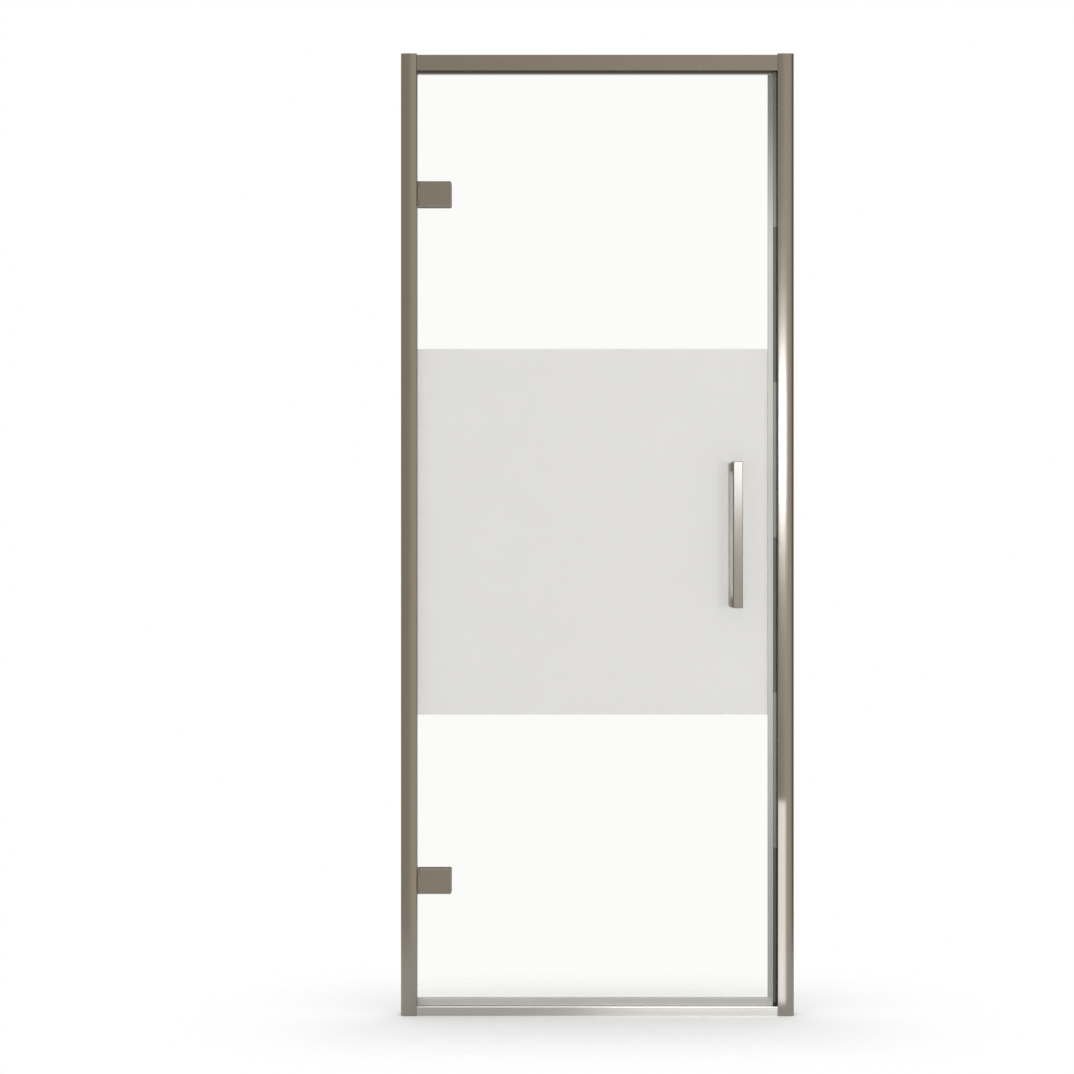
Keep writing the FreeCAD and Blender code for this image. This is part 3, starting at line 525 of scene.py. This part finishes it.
# ---------------------------------------------------------------- making pieces
# Angles in radians: what counts as one smooth face, as flat and as an edge to break.
SMOOTH_ANGLE = 0.6
CAP_SMOOTH_ANGLE = 0.9
FLAT_ANGLE = 0.01
EDGE_ANGLE = math.radians(40)
JOIN_DISTANCE = 0.002 * MM
BEVEL_STEPS = 3
SKIN_GAP = 0.02 * MM


def in_scene(name, data):
    """A new object of the scene."""
    obj = bpy.data.objects.new(name, data)
    bpy.context.scene.collection.objects.link(obj)
    return obj


def drop_normals(mesh):
    """A joined mesh has no use for the stored normals of its loose triangles."""
    stored = mesh.attributes.get("custom_normal")
    if stored:
        mesh.attributes.remove(stored)


def piece(name, bm, body, material, replaced, smooth_angle=SMOOTH_ANGLE):
    """Turn a bmesh into a finished piece that rides on a body and stands for CAD nodes."""
    mesh = bpy.data.meshes.new(name)
    bmesh.ops.recalc_face_normals(bm, faces=bm.faces)
    bm.to_mesh(mesh)
    bm.free()
    drop_normals(mesh)
    mesh.shade_smooth()
    mesh.set_sharp_from_angle(angle=smooth_angle)
    mesh.materials.append(material)
    obj = in_scene(name, mesh)
    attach(obj, body)
    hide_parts(*replaced)
    return obj


def loft(bm, sections):
    """A closed solid through outlines of (x, y) points, each with its height, from below."""
    rings = [[bm.verts.new((x, y, height)) for x, y in outline] for outline, height in sections]
    bm.faces.new(rings[0][::-1])
    bm.faces.new(rings[-1])
    for below, above in zip(rings, rings[1:]):
        for i in range(len(below)):
            j = (i + 1) % len(below)
            bm.faces.new((below[i], below[j], above[j], above[i]))


def prism(bm, outline, low, high):
    """A closed outline of (x, y) points raised from low to high."""
    loft(bm, [(outline, low), (outline, high)])


def arc(centre, radius, start, end, steps):
    """Points of an arc between two angles in degrees."""
    angles = [math.radians(start + (end - start) * i / steps) for i in range(steps + 1)]
    return [(centre[0] + radius * math.cos(a), centre[1] + radius * math.sin(a)) for a in angles]


def merged(node):
    """A CAD node's mesh with its loose triangles joined."""
    bm = bmesh.new()
    bm.from_mesh(nodes[node].data)
    bmesh.ops.remove_doubles(bm, verts=bm.verts, dist=JOIN_DISTANCE)
    return bm


def edged_copy(node, name, body, material, edge):
    """A copy of a CAD node with its sharp edges broken by a small radius."""
    bm = merged(node)
    bmesh.ops.dissolve_limit(bm, angle_limit=FLAT_ANGLE, verts=bm.verts, edges=bm.edges)
    obj = piece(name, bm, body, material, [node])
    bevel = obj.modifiers.new("edges", "BEVEL")
    bevel.width = edge
    bevel.segments = BEVEL_STEPS
    bevel.limit_method = "ANGLE"
    bevel.angle_limit = EDGE_ANGLE
    flat = obj.modifiers.new("flat faces", "WEIGHTED_NORMAL")
    flat.keep_sharp = True


def skinned_copy(node, name, material):
    """A copy of a door node drawn in by a hair, so that it shares no face with the glass."""
    bm = merged(node)
    bm.normal_update()
    for vertex in bm.verts:
        vertex.co -= vertex.normal * SKIN_GAP
    piece(name, bm, "door", material, [node])


# ---------------------------------------------------------------- posts and caps
# Post coordinates are the reach from the wall and the depth.
BOW_STEPS = 40
CORNER_STEPS = 10
BACK_STEPS = 5


def bow(side, inset):
    """Centre and radius of the bowed front, drawn in from the outer face by inset."""
    width = POST_WIDTH[side]
    radius = ((width / 2) ** 2 + POST_BOW**2) / (2 * POST_BOW)
    return (width / 2, radius - HALF_DEPTH), radius - inset


def front_edge(side, inset, reach):
    """Where the bowed front stands at a reach from the wall."""
    (across, deep), radius = bow(side, inset)
    return deep - math.sqrt(radius**2 - (reach - across) ** 2)


def round_corner(side, inset, radius, near_wall):
    """Points that round the front corner at the wall or the door side, from the side face on."""
    (across, deep), outer = bow(side, inset)
    width = 2 * across
    corner_x = inset + radius if near_wall else width - inset - radius
    corner = (corner_x, deep - math.sqrt((outer - radius) ** 2 - (corner_x - across) ** 2))
    meet = math.degrees(math.atan2(corner[1] - deep, corner[0] - across)) % 360
    if near_wall:
        return arc(corner, radius, 180, meet, CORNER_STEPS)
    return arc(corner, radius, meet, 360, CORNER_STEPS)


def front_outline(side, inset=0):
    """The bowed front with its two rounded corners, from the wall side to the door side."""
    start = round_corner(side, inset, POST_OUTER_RADIUS - inset, True)
    end = round_corner(side, inset, POST_INNER_RADIUS - inset, False)
    span = end[0][0] - start[-1][0]
    reaches = [start[-1][0] + span * i / BOW_STEPS for i in range(1, BOW_STEPS)]
    return start + [(reach, front_edge(side, inset, reach)) for reach in reaches] + end


def back_outline(side, inset=0):
    """The two rounded back corners, from the door side to the wall side."""
    centre_y, radius = HALF_DEPTH - POST_BACK_RADIUS, POST_BACK_RADIUS - inset
    door_side = (POST_WIDTH[side] - POST_BACK_RADIUS, centre_y)
    wall_side = (POST_BACK_RADIUS, centre_y)
    corner = arc(door_side, radius, 0, 90, BACK_STEPS)
    return corner + arc(wall_side, radius, 90, 180, BACK_STEPS)


def post_outline(side):
    """The post's section in post coordinates: a channel with guide ribs in it."""
    width, back = POST_WIDTH[side], HALF_DEPTH
    outer = [(0, POST_LIP + front_edge(side, 0, 0))] + front_outline(side)
    inside_face = []
    if side == "strike":
        depth = width - POST_WALL
        foot = depth - POCKET_DEPTH
        outer += [
            (width, -GROOVE_HALF),
            (depth, -GROOVE_HALF),
            (depth, -POCKET_HALF),
            (foot, -POCKET_HALF),
            (foot, POCKET_HALF),
            (depth, POCKET_HALF),
            (depth, GROOVE_HALF),
            (width, GROOVE_HALF),
        ]
        edge = POCKET_HALF + POCKET_WALL
        foot -= POCKET_WALL
        inside_face = [(depth, edge), (foot, edge), (foot, -edge), (depth, -edge)]
    outer += back_outline(side)
    outer.append((0, back - POST_LIP))
    inner = [(POST_WALL, back - POST_LIP), (POST_WALL, back - POST_WALL)]
    for reach in GUIDE_REACHES:
        inner += [(reach, back - POST_WALL), (reach, GUIDE_HALF_GAP)]
        inner += [(reach + GUIDE_WIDTH, GUIDE_HALF_GAP), (reach + GUIDE_WIDTH, back - POST_WALL)]
    inner += [(width - POST_WALL, back - POST_WALL)] + inside_face
    inner += round_corner(side, POST_WALL, POST_HOLLOW_RADIUS, False)[::-1]
    for reach in GUIDE_REACHES[::-1]:
        for at in (reach + GUIDE_WIDTH, reach):
            wall = (at, front_edge(side, POST_WALL, at))
            rib = (at, -GUIDE_HALF_GAP)
            inner += [wall, rib] if at > reach else [rib, wall]
    inner += round_corner(side, POST_WALL, POST_OUTER_RADIUS - POST_WALL, True)[::-1]
    inner.append((POST_WALL, POST_LIP + front_edge(side, 0, 0)))
    return outer + inner


def in_place(side, outline):
    """Post coordinates to the frame's own."""
    way = 1 if side == "hinge" else -1
    return [(WALL_FACE[side] + way * reach, depth) for reach, depth in outline][::way]


CAP_EDGE = 0.35 * MM


def make_cap(side):
    """A cap with a rounded top edge and two plugs that reach down into the post."""
    bm = bmesh.new()
    levels = [(0, POST_TOP), (0, CAP_TOP - CAP_EDGE)]
    for angle in (math.radians(degrees) for degrees in (30, 60, 90)):
        drop = CAP_EDGE * (1 - math.sin(angle))
        levels.append((CAP_EDGE * (1 - math.cos(angle)), CAP_TOP - drop))
    sections = []
    for inset, level in levels:
        outline = front_outline(side, inset) + back_outline(side, inset)
        sections.append((in_place(side, outline), level))
    loft(bm, sections)
    near, far = CAP_PLUG_REACHES[0], POST_WIDTH[side] - CAP_PLUG_REACHES[1]
    for low, high in (CAP_PLUG_HALVES, (-CAP_PLUG_HALVES[1], -CAP_PLUG_HALVES[0])):
        outline = in_place(side, [(near, low), (far, low), (far, high), (near, high)])
        prism(bm, outline, CAP_PLUG_BOTTOM, POST_TOP)
    cap = side + "_post_cap"
    piece(cap + "_moulding", bm, "frame", CAP_NICKEL, [cap], CAP_SMOOTH_ANGLE)


for side in ("hinge", "strike"):
    bm = bmesh.new()
    prism(bm, in_place(side, post_outline(side)), 0, POST_TOP)
    post = side + "_post"
    piece(post + "_extrusion", bm, "frame", POST_NICKEL, [post])
    make_cap(side)


# ---------------------------------------------------------------- header, sill, hinges, handles
EDGED = {
    # CAD node: (piece, body, material, material slot, edge radius in mm)
    "header": ("header_extrusion", "frame", BAR_NICKEL, "brushed_nickel", 0.2),
    "sill": ("sill_extrusion", "frame", SILL_NICKEL, "sill_nickel", 0.2),
    "hinge_leaf_upper": ("upper_hinge_leaf", "frame", HINGE_NICKEL, "brushed_nickel", 0.15),
    "hinge_leaf_lower": ("lower_hinge_leaf", "frame", HINGE_NICKEL, "brushed_nickel", 0.15),
    "corner_block": ("black_corner_block", "frame", BLACK_RUBBER, "black_rubber", 0.3),
    "strike_magnet_profile": ("magnet_profile", "frame", PROFILE_VINYL, "magnet_profile", 0.15),
    "hinge_front_plate_upper": ("upper_hinge_front", "door", HINGE_NICKEL, "brushed_nickel", 0.2),
    "hinge_front_plate_lower": ("lower_hinge_front", "door", HINGE_NICKEL, "brushed_nickel", 0.2),
    "hinge_back_plate_upper": ("upper_hinge_back", "door", HINGE_NICKEL, "brushed_nickel", 0.2),
    "hinge_back_plate_lower": ("lower_hinge_back", "door", HINGE_NICKEL, "brushed_nickel", 0.2),
    "outside_handle": ("outside_pull", "door", HANDLE_NICKEL, "handle_nickel", 0.25),
    "inside_handle": ("inside_pull", "door", HANDLE_NICKEL, "handle_nickel", 0.25),
}
for node, (name, body, material, slot, edge) in EDGED.items():
    edged_copy(node, name, body, material, edge * MM)


# ---------------------------------------------------------------- glass, etched band and seals
EDGE_DEPTH = 0.15 * MM


def make_pane():
    """The clear pane, with its bare edges at the hinge side and the top as a skin of their own.

    The skin at the hinge side comes in three lengths, between the cut-outs for the hinges.
    """
    bm = merged("door_glass")
    low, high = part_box("door_glass")
    cut = EDGE_DEPTH + SKIN_GAP

    def on_front_edge(place):
        return place.x < low.x + SKIN_GAP and place.y < low.y + SKIN_GAP

    # The heights at which the three lengths start and end, by turns, to the micrometre.
    ends = sorted({round(v.co.z, 6) for v in bm.verts if on_front_edge(v.co)})
    for vertex in bm.verts:
        vertex.co.x = max(vertex.co.x, low.x + cut)
        vertex.co.z = min(vertex.co.z, high.z - cut)
    piece("glass_pane", bm, "door", CLEAR_GLASS, ["door_glass"])
    bm = bmesh.new()
    front, back = low.y + SKIN_GAP, high.y - SKIN_GAP
    side, top = low.x + EDGE_DEPTH, high.z - EDGE_DEPTH
    outline = [(low.x, front), (side, front), (side, back), (low.x, back)]
    for start, end in zip(ends[::2], ends[1::2]):
        prism(bm, outline, start, end)
    prism(bm, [(side, front), (high.x, front), (high.x, back), (side, back)], top, high.z)
    piece("glass_edges", bm, "door", EDGE_GLASS, ["door_glass"])


make_pane()
skinned_copy("strike_edge_seal", "strike_seal", SEAL_VINYL)
skinned_copy("bottom_sweep", "sweep", SWEEP_VINYL)


def make_band():
    """The etched layer, a hair clear of the glass that it lies in."""
    bm = merged("frosted_band")
    low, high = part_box("frosted_band")
    for vertex in bm.verts:
        if vertex.co.y < (low.y + high.y) / 2:
            vertex.co.y += SKIN_GAP
        for axis in (0, 2):
            if vertex.co[axis] - low[axis] < SKIN_GAP:
                vertex.co[axis] += SKIN_GAP
            elif high[axis] - vertex.co[axis] < SKIN_GAP:
                vertex.co[axis] -= SKIN_GAP
    piece("etched_band", bm, "door", ETCHED_GLASS, ["frosted_band"])


make_band()


# ---------------------------------------------------------------- screws, made by one node tree
SCREW_SIZES = (
    "Head Radius",
    "Crown Radius",
    "Head Height",
    "Shank Radius",
    "Shank Length",
    "Socket Radius",
    "Socket Depth",
)
HEAD_SIDES = 40
SHANK_SIDES = 28
SOCKET_SIDES = 6
# The socket's cutter lies a little less than half its depth down, to stand out of the head.
SOCKET_SINK = 0.45


def screw_tree():
    """Screws on given points, all pointing one way: a head with a hexagon socket, and a shank."""
    tree = bpy.data.node_groups.new("screws on points", "GeometryNodeTree")
    kinds = {"Geometry": "Geometry", "Direction": "Vector", "Material": "Material"}
    for label, kind in {**kinds, **dict.fromkeys(SCREW_SIZES, "Float")}.items():
        tree.interface.new_socket(label, in_out="INPUT", socket_type="NodeSocket" + kind)
    tree.interface.new_socket("Geometry", in_out="OUTPUT", socket_type="NodeSocketGeometry")
    given = tree.nodes.new("NodeGroupInput").outputs
    made = tree.nodes.new("NodeGroupOutput")

    def raised(geometry, height):
        place = add(tree, "ShaderNodeCombineXYZ", Z=height).outputs[0]
        return add(tree, "GeometryNodeTransform", Geometry=geometry, Translation=place).outputs[0]

    head = add(
        tree,
        "GeometryNodeMeshCone",
        Vertices=HEAD_SIDES,
        Radius_Top=given["Crown Radius"],
        Radius_Bottom=given["Head Radius"],
        Depth=given["Head Height"],
    ).outputs[0]
    shank = add(
        tree,
        "GeometryNodeMeshCylinder",
        Vertices=SHANK_SIDES,
        Radius=given["Shank Radius"],
        Depth=given["Shank Length"],
    ).outputs[0]
    half = maths(tree, "MULTIPLY", given["Shank Length"], -0.5)
    socket = add(
        tree,
        "GeometryNodeMeshCylinder",
        Vertices=SOCKET_SIDES,
        Radius=given["Socket Radius"],
        Depth=given["Socket Depth"],
    ).outputs[0]
    sink = maths(tree, "MULTIPLY", given["Socket Depth"], -SOCKET_SINK)
    cutter = raised(socket, maths(tree, "ADD", sink, given["Head Height"]))
    cut = tree.nodes.new("GeometryNodeMeshBoolean")
    cut.operation = "DIFFERENCE"
    tree.links.new(head, cut.inputs[0])
    tree.links.new(cutter, cut.inputs[1])
    joined = tree.nodes.new("GeometryNodeJoinGeometry")
    tree.links.new(cut.outputs[0], joined.inputs[0])
    tree.links.new(raised(shank, half), joined.inputs[0])
    turn = tree.nodes.new("FunctionNodeAlignRotationToVector")
    turn.axis = "Z"
    tree.links.new(given["Direction"], turn.inputs["Vector"])
    placed = add(
        tree,
        "GeometryNodeInstanceOnPoints",
        Points=given["Geometry"],
        Instance=joined.outputs[0],
        Rotation=turn.outputs[0],
    ).outputs[0]
    plain = add(tree, "GeometryNodeRealizeInstances", Geometry=placed).outputs[0]
    painted = add(tree, "GeometryNodeSetMaterial", Geometry=plain, Material=given["Material"])
    tree.links.new(painted.outputs[0], made.inputs[0])
    return tree


SCREWS = screw_tree()


def screws(name, spots, direction, body, replaced, **sizes):
    """A node-made set of screws, turned into one plain mesh. Sizes are those of SCREW_SIZES."""
    mesh = bpy.data.meshes.new(name)
    mesh.from_pydata(spots, [], [])
    obj = in_scene(name, mesh)
    modifier = obj.modifiers.new("screws", "NODES")
    modifier.node_group = SCREWS
    sockets = [item for item in SCREWS.interface.items_tree if item.in_out == "INPUT"]
    keys = {socket.name: socket.identifier for socket in sockets}
    for label, value in sizes.items():
        modifier[keys[label.replace("_", " ")]] = value
    modifier[keys["Direction"]] = direction
    modifier[keys["Material"]] = SCREW_STEEL
    evaluated = obj.evaluated_get(bpy.context.evaluated_depsgraph_get())
    plain = bpy.data.meshes.new_from_object(evaluated)
    obj.modifiers.clear()
    obj.data = plain
    plain.name = name
    plain.shade_smooth()
    plain.set_sharp_from_angle(angle=SMOOTH_ANGLE)
    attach(obj, body)
    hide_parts(*replaced)


def solid_spots(node):
    """The boxes of a node's separate solids, sorted, as (low, high) pairs."""
    bm = merged(node)
    left, boxes = set(bm.verts), []
    while left:
        reached, edge = set(), [next(iter(left))]
        while edge:
            vertex = edge.pop()
            if vertex not in reached:
                reached.add(vertex)
                edge += [e.other_vert(vertex) for e in vertex.link_edges]
        left -= reached
        corners = list(zip(*(v.co for v in reached)))
        boxes.append((Vector(map(min, corners)), Vector(map(max, corners))))
    bm.free()
    return sorted(boxes, key=lambda box: (round(box[0].x, 5), round(box[0].z, 5)))


# The lock screws' heads lie on the posts' inner faces.
LOCK_HEAD = 1.6 * MM
lock_boxes = solid_spots("jamb_lock_screws")
screws(
    "jamb_lock_screw_set",
    [((low.x + high.x) / 2, HALF_DEPTH, (low.z + high.z) / 2) for low, high in lock_boxes],
    (0, 1, 0),
    "frame",
    ["jamb_lock_screws"],
    Head_Radius=3.6 * MM,
    Crown_Radius=2.7 * MM,
    Head_Height=LOCK_HEAD,
    Shank_Radius=2 * MM,
    Shank_Length=lock_boxes[0][1].y - LOCK_HEAD - lock_boxes[0][0].y,
    Socket_Radius=1.4 * MM,
    Socket_Depth=1.0 * MM,
)

# The clamp screws lie flush in the hinges' back plates.
CLAMP_HEAD = 3 * MM
clamp_boxes = solid_spots("hinge_clamp_screws")
screws(
    "hinge_clamp_screw_set",
    [
        ((low.x + high.x) / 2, high.y - CLAMP_HEAD, (low.z + high.z) / 2)
        for low, high in clamp_boxes
    ],
    (0, 1, 0),
    "door",
    ["hinge_clamp_screws"],
    Head_Radius=3 * MM,
    Crown_Radius=5.45 * MM,
    Head_Height=CLAMP_HEAD,
    Shank_Radius=3 * MM,
    Shank_Length=clamp_boxes[0][1].y - CLAMP_HEAD - clamp_boxes[0][0].y,
    Socket_Radius=2.3 * MM,
    Socket_Depth=2.1 * MM,
)

# The leaf screws lie flush in the leaves and are seen when the door stands open.
LEAF_HEAD = 2.1 * MM
leaf_boxes = solid_spots("hinge_leaf_screws")
screws(
    "hinge_leaf_screw_set",
    [(high.x - LEAF_HEAD, (low.y + high.y) / 2, (low.z + high.z) / 2) for low, high in leaf_boxes],
    (1, 0, 0),
    "frame",
    ["hinge_leaf_screws"],
    Head_Radius=2.1 * MM,
    Crown_Radius=4.15 * MM,
    Head_Height=LEAF_HEAD,
    Shank_Radius=2.05 * MM,
    Shank_Length=leaf_boxes[0][1].x - LEAF_HEAD - leaf_boxes[0][0].x,
    Socket_Radius=1.5 * MM,
    Socket_Depth=1.5 * MM,
)


# ---------------------------------------------------------------- CAD nodes that stay as they are
FINISHES = {
    "hinge_side_wall_jamb": ALUMINIUM,
    "strike_side_wall_jamb": ALUMINIUM,
    "header_screws": ZINC_STEEL,
    "sill_screws": ZINC_STEEL,
    "hinge_nut_plates": ZINC_STEEL,
    "hinge_pins": SCREW_STEEL,
    "handle_studs": ZINC_STEEL,
    "handle_set_screws": SCREW_STEEL,
    "strike_magnets": MAGNET_STRIP,
    "door_magnet": MAGNET_STRIP,
    "hinge_gaskets": CLEAR_GASKET,
    "handle_washers": CLEAR_GASKET,
    "hinge_bushes": NYLON,
}
for node, material in FINISHES.items():
    mesh = nodes[node].data
    mesh.materials.clear()
    mesh.materials.append(material)


# ---------------------------------------------------------------- floor, light and camera
# How far from the door the floor is solid and where it has faded out, as seen and in metal.
FLOOR_SOLID = (0.0, 0.25)
FLOOR_END = (0.45, 1.1)


def seen_in_metal(tree):
    """1 for what metal mirrors, 0 for what is seen directly or through glass."""
    bounces = add(tree, "ShaderNodeLightPath").outputs["Glossy Depth"]
    return maths(tree, "GREATER_THAN", bounces, 0.5)


def floor_material():
    """A white floor that fades out round the door, so that it has no visible edge."""
    material = bpy.data.materials.new("pale floor")
    material.use_nodes = True
    tree = material.node_tree
    shader = tree.nodes["Principled BSDF"]
    shader.inputs["Base Color"].default_value = (0.99, 0.99, 0.99, 1)
    shader.inputs["Roughness"].default_value = 0.9
    shader.inputs["Specular IOR Level"].default_value = 0.0
    place = add(tree, "ShaderNodeTexCoord").outputs["Object"]
    side = add(tree, "ShaderNodeVectorMath", "ABSOLUTE", _0=place).outputs[0]
    door = (cad_box[1].x, 0, 0)
    past = add(tree, "ShaderNodeVectorMath", "SUBTRACT", _0=side, _1=door).outputs[0]
    near = add(tree, "ShaderNodeVectorMath", "MAXIMUM", _0=past, _1=(0, 0, 0)).outputs[0]
    reach = add(tree, "ShaderNodeVectorMath", "LENGTH", _0=near).outputs["Value"]
    mirrored = seen_in_metal(tree)
    solid, end = (
        maths(tree, "MULTIPLY_ADD", mirrored, reflected - seen, seen)
        for seen, reflected in (FLOOR_SOLID, FLOOR_END)
    )
    ends = {"From_Min": solid, "From_Max": end, "To_Min": 1.0, "To_Max": 0.0}
    fade = add(tree, "ShaderNodeMapRange", Value=reach, **ends)
    fade.interpolation_type = "SMOOTHERSTEP"
    tree.links.new(fade.outputs[0], shader.inputs["Alpha"])
    return material


def make_floor():
    """A disc that ends where the mirrored floor has faded out."""
    bm = bmesh.new()
    bmesh.ops.create_circle(bm, cap_ends=True, radius=FLOOR_END[1] + cad_box[1].x, segments=96)
    mesh = bpy.data.meshes.new("floor")
    bm.to_mesh(mesh)
    bm.free()
    mesh.materials.append(floor_material())
    floor = in_scene("floor", mesh)


make_floor()

# The room that metal mirrors. A direction is a vector of length 1, and a region fades in
# where each part of it that is named here goes from the first number to the second.
ROOM_LEFT = (0.335, 0.293, 0.233, 1)
BACK_WALL = ("Y", 0.8, 0.95)
ROOM_REGIONS = {
    "middle": ((0.5, 0.44, 0.36, 1), ("X", -0.08, 0.12)),
    "behind": ((0.18, 0.158, 0.125, 1), BACK_WALL, ("X", -0.3, -0.15), ("X", 0.3, 0.15)),
    "window": ((1, 1, 0.98, 1), BACK_WALL, ("Z", 0.25, 0.3)),
    "right": ((0.11, 0.094, 0.072, 1), ("Y", 0.0, -0.3), ("X", 0.28, 0.5)),
    "ceiling": ((0.6, 0.57, 0.52, 1), ("Z", 0.4, 0.7)),
    "floor": ((0.85, 0.83, 0.79, 1), ("Z", -0.27, -0.4)),
}


def make_world():
    """White seen directly, through glass and by matt surfaces. Metal mirrors a dimmer room."""
    world = bpy.data.worlds.new("studio")
    bpy.context.scene.world = world
    world.use_nodes = True
    world.cycles.sampling_method = "NONE"
    tree = world.node_tree
    way = add(tree, "ShaderNodeTexCoord").outputs["Generated"]
    parts = add(tree, "ShaderNodeSeparateXYZ", Vector=way).outputs
    room = ROOM_LEFT
    for colour, *limits in ROOM_REGIONS.values():
        share, *others = [faded(tree, parts[axis], none, full) for axis, none, full in limits]
        for other in others:
            share = maths(tree, "MULTIPLY", share, other)
        room = mixed(tree, share, room, colour)
    seen = mixed(tree, seen_in_metal(tree), (1, 1, 1, 1), room)
    tree.links.new(seen, tree.nodes["Background"].inputs["Color"])


make_world()


def softbox(name, centre, aim, size, power, lit, shading=None, mirrored=True):
    """A lamp that lights only the given pieces and isn't seen directly.

    With pieces that shade it, only those cast its shadow, so that glass doesn't stop it.
    Multiple importance sampling is off then, because it would dim what lies behind glass.
    A lamp that isn't mirrored shows in no metal and through no glass.
    """
    lamp = bpy.data.lights.new(name, "AREA")
    lamp.shape = "RECTANGLE"
    lamp.size, lamp.size_y = size
    lamp.energy = power
    obj = in_scene(name, lamp)
    obj.location = centre
    obj.rotation_euler = (Vector(aim) - Vector(centre)).to_track_quat("-Z", "Y").to_euler()
    obj.visible_camera = False
    links = obj.light_linking
    links.receiver_collection = bpy.data.collections.new(name + ", lit")
    for label in lit:
        links.receiver_collection.objects.link(bpy.data.objects[label])
    if not mirrored:
        obj.visible_glossy = False
        obj.visible_transmission = False
    if shading:
        lamp.cycles.use_multiple_importance_sampling = False
        links.blocker_collection = bpy.data.collections.new(name + ", shading")
        for label in shading:
            links.blocker_collection.objects.link(bpy.data.objects[label])


STRIKE_POST = ("strike_post_extrusion", "strike_post_cap_moulding")
HINGE_SIDE = ("hinge_post_extrusion", "upper_hinge_front", "lower_hinge_front")
SILL = ("sill_extrusion",)

# The long highlight on the strike post, above its middle.
softbox(
    "tall softbox",
    centre=(0.21, -4.5, 1.25),
    aim=(0.21, 0, 1.25),
    size=(1.3, 0.5),
    power=10,
    lit=STRIKE_POST,
)
# The light face of the outside handle.
softbox(
    "handle softbox",
    centre=(0.72, -4.5, 1.38),
    aim=(0, 0, 1.38),
    size=(1.2, 0.76),
    power=4.7,
    lit=("outside_pull",),
)
# The short highlight at the strike post's foot.
softbox(
    "low softbox",
    centre=(0.318, -0.1, 0.19),
    aim=(0.318, 0, 0.19),
    size=(0.057, 0.37),
    power=0.063,
    lit=STRIKE_POST,
)
# The sill's front gets lighter towards the strike side.
softbox(
    "sill softbox",
    centre=(0.3, -0.2, 0.06),
    aim=(0.3, 0, 0.01),
    size=(0.6, 0.1),
    power=0.85,
    lit=SILL,
)
# The light line of the sill's tread.
softbox(
    "ceiling softbox",
    centre=(0, -0.5, 3),
    aim=(0, 0, 0),
    size=(2, 1.5),
    power=45,
    lit=SILL,
)
# An even light on the hinge side.
softbox(
    "hinge side softbox",
    centre=(2.2, -1.2, 0.85),
    aim=(-0.32, 0, 0.85),
    size=(3, 2.5),
    power=11,
    lit=HINGE_SIDE,
)
# What the inside handle and the strike post mirror from behind.
softbox(
    "back softbox",
    centre=(0.9, 4.5, 1.3),
    aim=(0, 0, 1.3),
    size=(0.95, 0.72),
    power=15,
    lit=("inside_pull",) + STRIKE_POST,
)
# The line of the inside handle that shows beside the outside one.
softbox(
    "inner softbox",
    centre=(0.51, -3, 0.86),
    aim=(0.51, 0, 0.86),
    size=(0.6, 0.7),
    power=1,
    lit=("inside_pull",),
    shading=HINGE_SIDE,
)
# The outside handle's soft shadow on the etched band.
softbox(
    "side softbox",
    centre=(1.35, -2.78, 0.86),
    aim=(0.23, 0, 0.86),
    size=(0.25, 0.25),
    power=9,
    lit=("etched_band",),
    shading=("outside_pull",),
    mirrored=False,
)

# The camera stands level, to the left of the door's middle and half way up.
PHOTO_SIDE = 1074
FOCAL_PIXELS = 2119
SENSOR = 36.0
STAND_OFF = 3.8
CAMERA_SIDE = -0.1085
CAMERA_HEIGHT = 0.8594
camera_data = bpy.data.cameras.new("camera")
camera_data.sensor_width = SENSOR
camera_data.lens = SENSOR * FOCAL_PIXELS / PHOTO_SIDE
camera = in_scene("camera", camera_data)
camera.location = (CAMERA_SIDE, -HALF_DEPTH - STAND_OFF, CAMERA_HEIGHT)
camera.rotation_euler = (math.radians(90), 0, 0)
bpy.context.scene.camera = camera
bpy.context.scene.view_settings.view_transform = "Standard"
